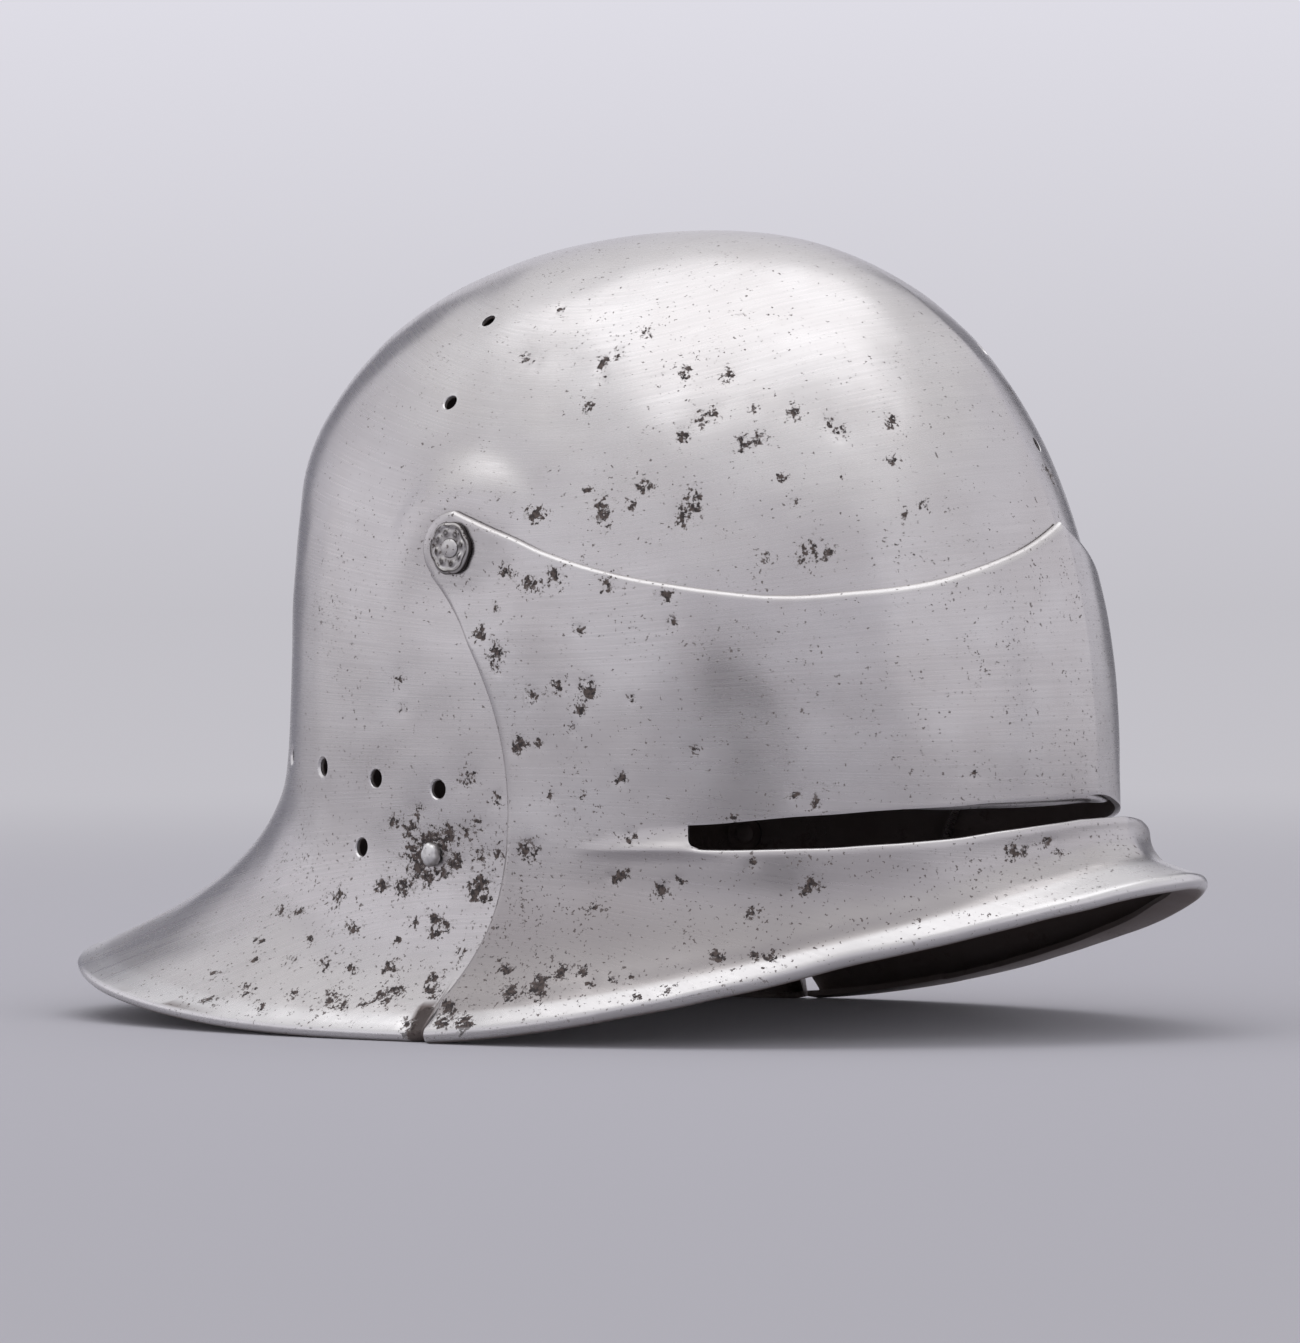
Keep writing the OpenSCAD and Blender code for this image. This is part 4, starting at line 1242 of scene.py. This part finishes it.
def steel(name, light, warm, roughness, speck, brushed, low_shade):
    """Satin steel: brushed round the helmet, uneven in tone, with brown pits and worn edges that carry a
    painted highlight, a painted highlight on the rim's roll, and painted shade inside, underneath, in
    hollows and low on the visor.
    """
    m = Nodes(bpy.data.materials.new(name))
    place = m.add("ShaderNodeTexCoord").outputs["Object"]
    parts = m.add("ShaderNodeSeparateXYZ", {0: place}).outputs
    mottle = m.noise(place, MOTTLE_SCALE, 4.0, 0.55)
    smear = m.noise(place, SMEAR_SCALE, 3.0, 0.5)
    grain = m.noise(place, GRAIN_SCALE, 4.0, 0.6)
    dots = m.noise(place, DOT_SCALE, 2.0, 0.6)
    if brushed:
        # patch is the pitting, inside is painted shade and roll is a painted highlight on the rim.
        patch, inside, roll = (
            m.add("ShaderNodeAttribute", attribute_name=value).outputs["Fac"]
            for value in ("patch", "inside", "roll")
        )
        uv = m.add("ShaderNodeUVMap", uv_map="brushed").outputs[0]
        lines = m.noise(m.stretch(uv, LINES_SCALE), 1.0, 4.0, 0.6)
        coarse = m.noise(m.stretch(uv, COARSE_SCALE), 1.0, 3.0, 0.55)
    else:
        patch = m.ramp(mottle, 0.5, 0.75)
        # Painted shade: the parts of a small piece inside the skull are darkened like the plates' inner
        # faces.
        across = m.math("ABSOLUTE", parts["Y"])
        inside = m.minus(1.0, m.ramp(across, INNER_Y, INNER_Y + 0.001))
        lines = m.noise(place, SCRATCH_SCALE, 3.0, 0.6)
        coarse = grain
    rust, halo = corrosion(m, place, parts["Z"], patch, grain, dots, speck)
    bend = m.add("ShaderNodeNewGeometry").outputs["Pointiness"]
    edge = m.times(m.ramp(bend, 0.508, 0.54), m.minus(1.0, inside))
    tone = worn_tone(m, light, warm, mottle, lines, coarse, halo)
    # Painted shade: the lower part of the visor turns darker grey, up to an uneven line.
    if low_shade:
        line = m.plus(parts["Z"], m.times(m.minus(smear, 0.5), 0.03))
        dull = m.minus(1.0, m.ramp(line, 0.035, 0.075))
        tone = m.colour(m.times(dull, low_shade), tone, LOW_SHADE_TONE)
    # Painted highlight: the rim's roll turns bright.
    if brushed:
        tone = m.colour(m.times(roll, 0.5), tone, WORN_BRIGHT_AND_HIGHLIGHT)
    # Convex edges: worn bright and clear of rust, which also paints their highlight.
    tone = m.colour(m.times(edge, 0.4), tone, WORN_BRIGHT_AND_HIGHLIGHT)
    rust = m.times(rust, m.minus(1.0, m.times(edge, 0.6)))
    brown = m.colour(m.ramp(dots, 0.38, 0.62), DARK_RUST_AND_SHADE, BROWN_RUST)
    base = m.colour(rust, tone, brown)
    # Painted shade: the small pieces' hollows, such as between the bosses, turn dark.
    if not brushed:
        base = m.colour(m.ramp(bend, 0.495, 0.45), base, DARK_RUST_AND_SHADE)
    # Painted shade: where inside is set, the colour turns brown-black and the steel rough and dull.
    shade_mix = m.math("MULTIPLY", inside, m.plus(0.75, m.times(mottle, 0.35)), True)
    base = m.colour(shade_mix, base, INSIDE_SHADE)
    rough = m.plus(m.times(smear, 0.10), roughness - 0.05, m.times(m.minus(lines, 0.5), 0.18))
    rough = m.between(rust, m.plus(rough, m.times(halo, 0.05)), 0.8)
    rough = m.between(shade_mix, rough, 0.62)
    metal = m.between(shade_mix, m.between(rust, 1.0, 0.1), 0.15)
    height = m.plus(m.times(lines, 0.14), m.times(coarse, 0.07), m.times(grain, 0.12))
    close_steel(m, base, rough, metal, m.minus(height, m.times(rust, 0.9)), brushed)
    return m.owner


# Finishes: the light and the warm tone, roughness, how many specks, brushed or not, painted shade low down
FINISHES = {
    "skull_steel": ((0.60, 0.578, 0.575, 1), (0.55, 0.525, 0.52, 1), 0.28, 0.0, True, 0.0),
    "visor_steel": ((0.59, 0.57, 0.568, 1), (0.54, 0.515, 0.51, 1), 0.28, 0.004, True, 0.85),
    "rosette_steel": ((0.58, 0.565, 0.56, 1), (0.42, 0.40, 0.385, 1), 0.42, 0.02, False, 0.0),
    "rivet_steel": ((0.66, 0.65, 0.64, 1), (0.55, 0.53, 0.51, 1), 0.40, 0.0, False, 0.0),
    "washer_iron": ((0.16, 0.145, 0.135, 1), (0.09, 0.08, 0.075, 1), 0.55, 0.05, False, 0.0),
}
materials = {slot: steel(slot, *finish) for slot, finish in FINISHES.items()}


def dress(obj, body, slot, node):
    """Gives a piece its finish and its body, and hides the CAD node that it stands for."""
    obj.data.materials.clear()
    obj.data.materials.append(materials[slot])
    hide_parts(node)
    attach(obj, body)


skull = skull_plate()
finish_plate(skull)
dress(skull, SKULL_BODY, "skull_steel", "skull")

visor = visor_plate()
finish_plate(visor)
dress(visor, VISOR_BODY, "visor_steel", "visor")

# How each small piece is made, its finish and the CAD node that it stands for
SMALL_PIECES = [
    (rosette, "rosette_steel", "pivot_rosette"),
    (pivot_rivet, "rivet_steel", "pivot_rivet"),
    (pivot_washer, "washer_iron", "pivot_washer"),
    (strap_rivet, "rivet_steel", "strap_rivet"),
    (strap_washer, "washer_iron", "strap_washer"),
]

for side, name in SIDE_NAMES.items():
    for make, slot, node in SMALL_PIECES:
        piece = make(side)
        smooth_faces(piece, 50)
        dress(piece, SKULL_BODY, slot, f"{node}_{name}")


# The stage: a pale floor that fades into the backdrop's colour, in metres
BACK_LOW = (0.545, 0.535, 0.575, 1)
BACK_HIGH = (0.735, 0.725, 0.79, 1)
BACK_TOP = (0.95, 0.95, 0.98, 1)
FLOOR_COLOUR = (0.572, 0.558, 0.587, 1)
FLOOR_R = 9.0
FADE_FROM = 0.35
FADE_TO = 2.6
FILL_COLOUR = (0.93, 0.93, 1.0, 1)
FILL_LEVEL = 0.62

# The soft boxes; the side ones by their turn from the camera in degrees and their level
AIM = np.array([0, 0, 0.12])
SIDE_BOXES = [(-58, 0.17), (-104, 0.19), (48, 0.17), (98, 0.15)]
SIDE_BOX_RISE = 11
SIDE_BOX_REACH = 2.3
SIDE_BOX_SIZE = (1.9, 1.1)
TOP_BOX_TURN = 4
TOP_BOX_RISE = 88
TOP_BOX_REACH = 1.6
TOP_BOX_LEFT = 0.1
TOP_BOX_SIZE = (2.1, 1.75)
TOP_BOX_LEVEL = 0.84
TOP_BOX_COLOUR = (0.97, 0.985, 1.0)

# Grey panels seen in the steel alone: name, turn from the camera, reach, width, height and tone
PANELS = [
    ("camera panel", -15, 1.0, 0.25, 0.14, 0.02),
    ("left flag", -152, 1.9, 0.62, 1.5, 0.36),
    ("right flag", 156, 1.9, 0.45, 1.5, 0.20),
]
PANEL_FOOT = 0.004


def make_floor():
    mesh = bpy.data.meshes.new("floor")
    bm = bmesh.new()
    bmesh.ops.create_circle(bm, cap_ends=True, radius=FLOOR_R, segments=96)
    bm.to_mesh(mesh)
    bm.free()
    obj = add_object("floor", mesh)
    m = Nodes(bpy.data.materials.new("floor"))
    place = m.add("ShaderNodeTexCoord").outputs["Object"]
    reach = m.add("ShaderNodeVectorMath", {0: place}, operation="LENGTH").outputs["Value"]
    plain = m.add("ShaderNodeBsdfDiffuse", {"Color": FLOOR_COLOUR, "Roughness": 0.5})
    far = m.add("ShaderNodeEmission", {"Color": BACK_LOW, "Strength": 1.0})
    share = m.ramp(reach, FADE_FROM, FADE_TO)
    both = m.add("ShaderNodeMixShader", {0: share, 1: plain.outputs[0], 2: far.outputs[0]})
    m.add("ShaderNodeOutputMaterial", {"Surface": both.outputs[0]})
    obj.data.materials.append(m.owner)


def make_world():
    """A plain backdrop for the camera and the steel's reflections, and an even fill on the rest."""
    world = bpy.data.worlds.new("studio")
    bpy.context.scene.world = world
    m = Nodes(world)
    way = m.add("ShaderNodeTexCoord").outputs["Generated"]
    up = m.add("ShaderNodeSeparateXYZ", {0: way}).outputs["Z"]
    backdrop = m.colour(m.ramp(up, 0.0, 0.10, False), BACK_LOW, BACK_HIGH)
    backdrop = m.colour(m.ramp(up, 0.35, 0.75), backdrop, BACK_TOP)
    seen = m.add("ShaderNodeBackground", {"Color": backdrop, "Strength": 1.0})
    fill = m.add("ShaderNodeBackground", {"Color": FILL_COLOUR, "Strength": FILL_LEVEL})
    path = m.add("ShaderNodeLightPath").outputs
    reflected = m.math("MAXIMUM", path["Is Glossy Ray"], path["Is Transmission Ray"])
    shown = m.math("MAXIMUM", path["Is Camera Ray"], reflected)
    both = m.add("ShaderNodeMixShader", {0: shown, 1: fill.outputs[0], 2: seen.outputs[0]})
    m.add("ShaderNodeOutputWorld", {"Surface": both.outputs[0]})


def matrix_of(axes, place):
    """A matrix from columns of axes and a place in metres."""
    m = np.eye(4)
    m[:3, :3] = axes
    m[:3, 3] = place
    return Matrix(m.tolist())


def soft_box(name, place, aim, size, level, colour=(1, 1, 1)):
    """A large flat lamp that faces a point, with the level that its face shows in the steel."""
    data = bpy.data.lights.new(name, "AREA")
    data.shape = "RECTANGLE"
    data.size, data.size_y = size
    data.color = colour
    data.energy = level * math.pi * size[0] * size[1]
    obj = add_object(name, data)
    obj.matrix_world = matrix_of(local_frame(place, np.array(place, float) - aim)[1], place)
    obj.visible_camera = False


def around(turn, rise, reach):
    """A place round the helmet: turn in degrees to the right of the camera, and the rise."""
    a, e = math.radians(turn), math.radians(rise)
    to_eye = unit(-AHEAD * np.array([1, 1, 0]))
    side = np.array([RIGHT[0], RIGHT[1], 0])
    flat = unit(to_eye * math.cos(a) + side * math.sin(a))
    return flat * reach * math.cos(e) + np.array([0, 0, reach * math.sin(e)]) + AIM


def make_lights():
    for turn, level in SIDE_BOXES:
        place = around(turn, SIDE_BOX_RISE, SIDE_BOX_REACH)
        soft_box(f"side box {turn}", place, AIM, SIDE_BOX_SIZE, level)
    left = -TOP_BOX_LEFT * RIGHT
    place = around(TOP_BOX_TURN, TOP_BOX_RISE, TOP_BOX_REACH) + left
    soft_box("top box", place, AIM + left, TOP_BOX_SIZE, TOP_BOX_LEVEL, TOP_BOX_COLOUR)


def make_panel(name, turn, reach, width, height, tone):
    """A grey upright panel that stands on the floor, seen in the steel alone."""
    foot = around(turn, 0, reach)
    foot[2] = PANEL_FOOT
    face = unit(np.array([-foot[0], -foot[1], 0]))
    side = np.array([face[1], -face[0], 0])
    top = np.array([0, 0, height])
    a, b = foot - side * width / 2, foot + side * width / 2
    obj = new_piece(name, np.array([a, b, b + top, a + top]) / MM, [range(4)])
    m = Nodes(bpy.data.materials.new(name))
    dull = m.add("ShaderNodeBsdfDiffuse", {"Color": (tone, tone, tone * 1.1, 1)})
    m.add("ShaderNodeOutputMaterial", {"Surface": dull.outputs[0]})
    obj.data.materials.append(m.owner)
    obj.visible_camera = False
    obj.visible_diffuse = False
    obj.visible_shadow = False


def make_camera():
    data = bpy.data.cameras.new("camera")
    data.sensor_width = SENSOR_W
    data.lens = FOCAL_PX * SENSOR_W / PHOTO_H
    data.shift_y = (CENTRE_PX[1] - PHOTO_H / 2) / PHOTO_H
    data.shift_x = (PHOTO_W / 2 - CENTRE_PX[0]) / PHOTO_H
    data.clip_start, data.clip_end = 0.05, 40
    obj = add_object("camera", data)
    obj.matrix_world = matrix_of(np.stack([RIGHT, UP, -AHEAD], 1), EYE * MM)
    bpy.context.scene.camera = obj


make_floor()
make_world()
make_lights()
for panel in PANELS:
    make_panel(*panel)
make_camera()
bpy.context.scene.view_settings.view_transform = "Standard"
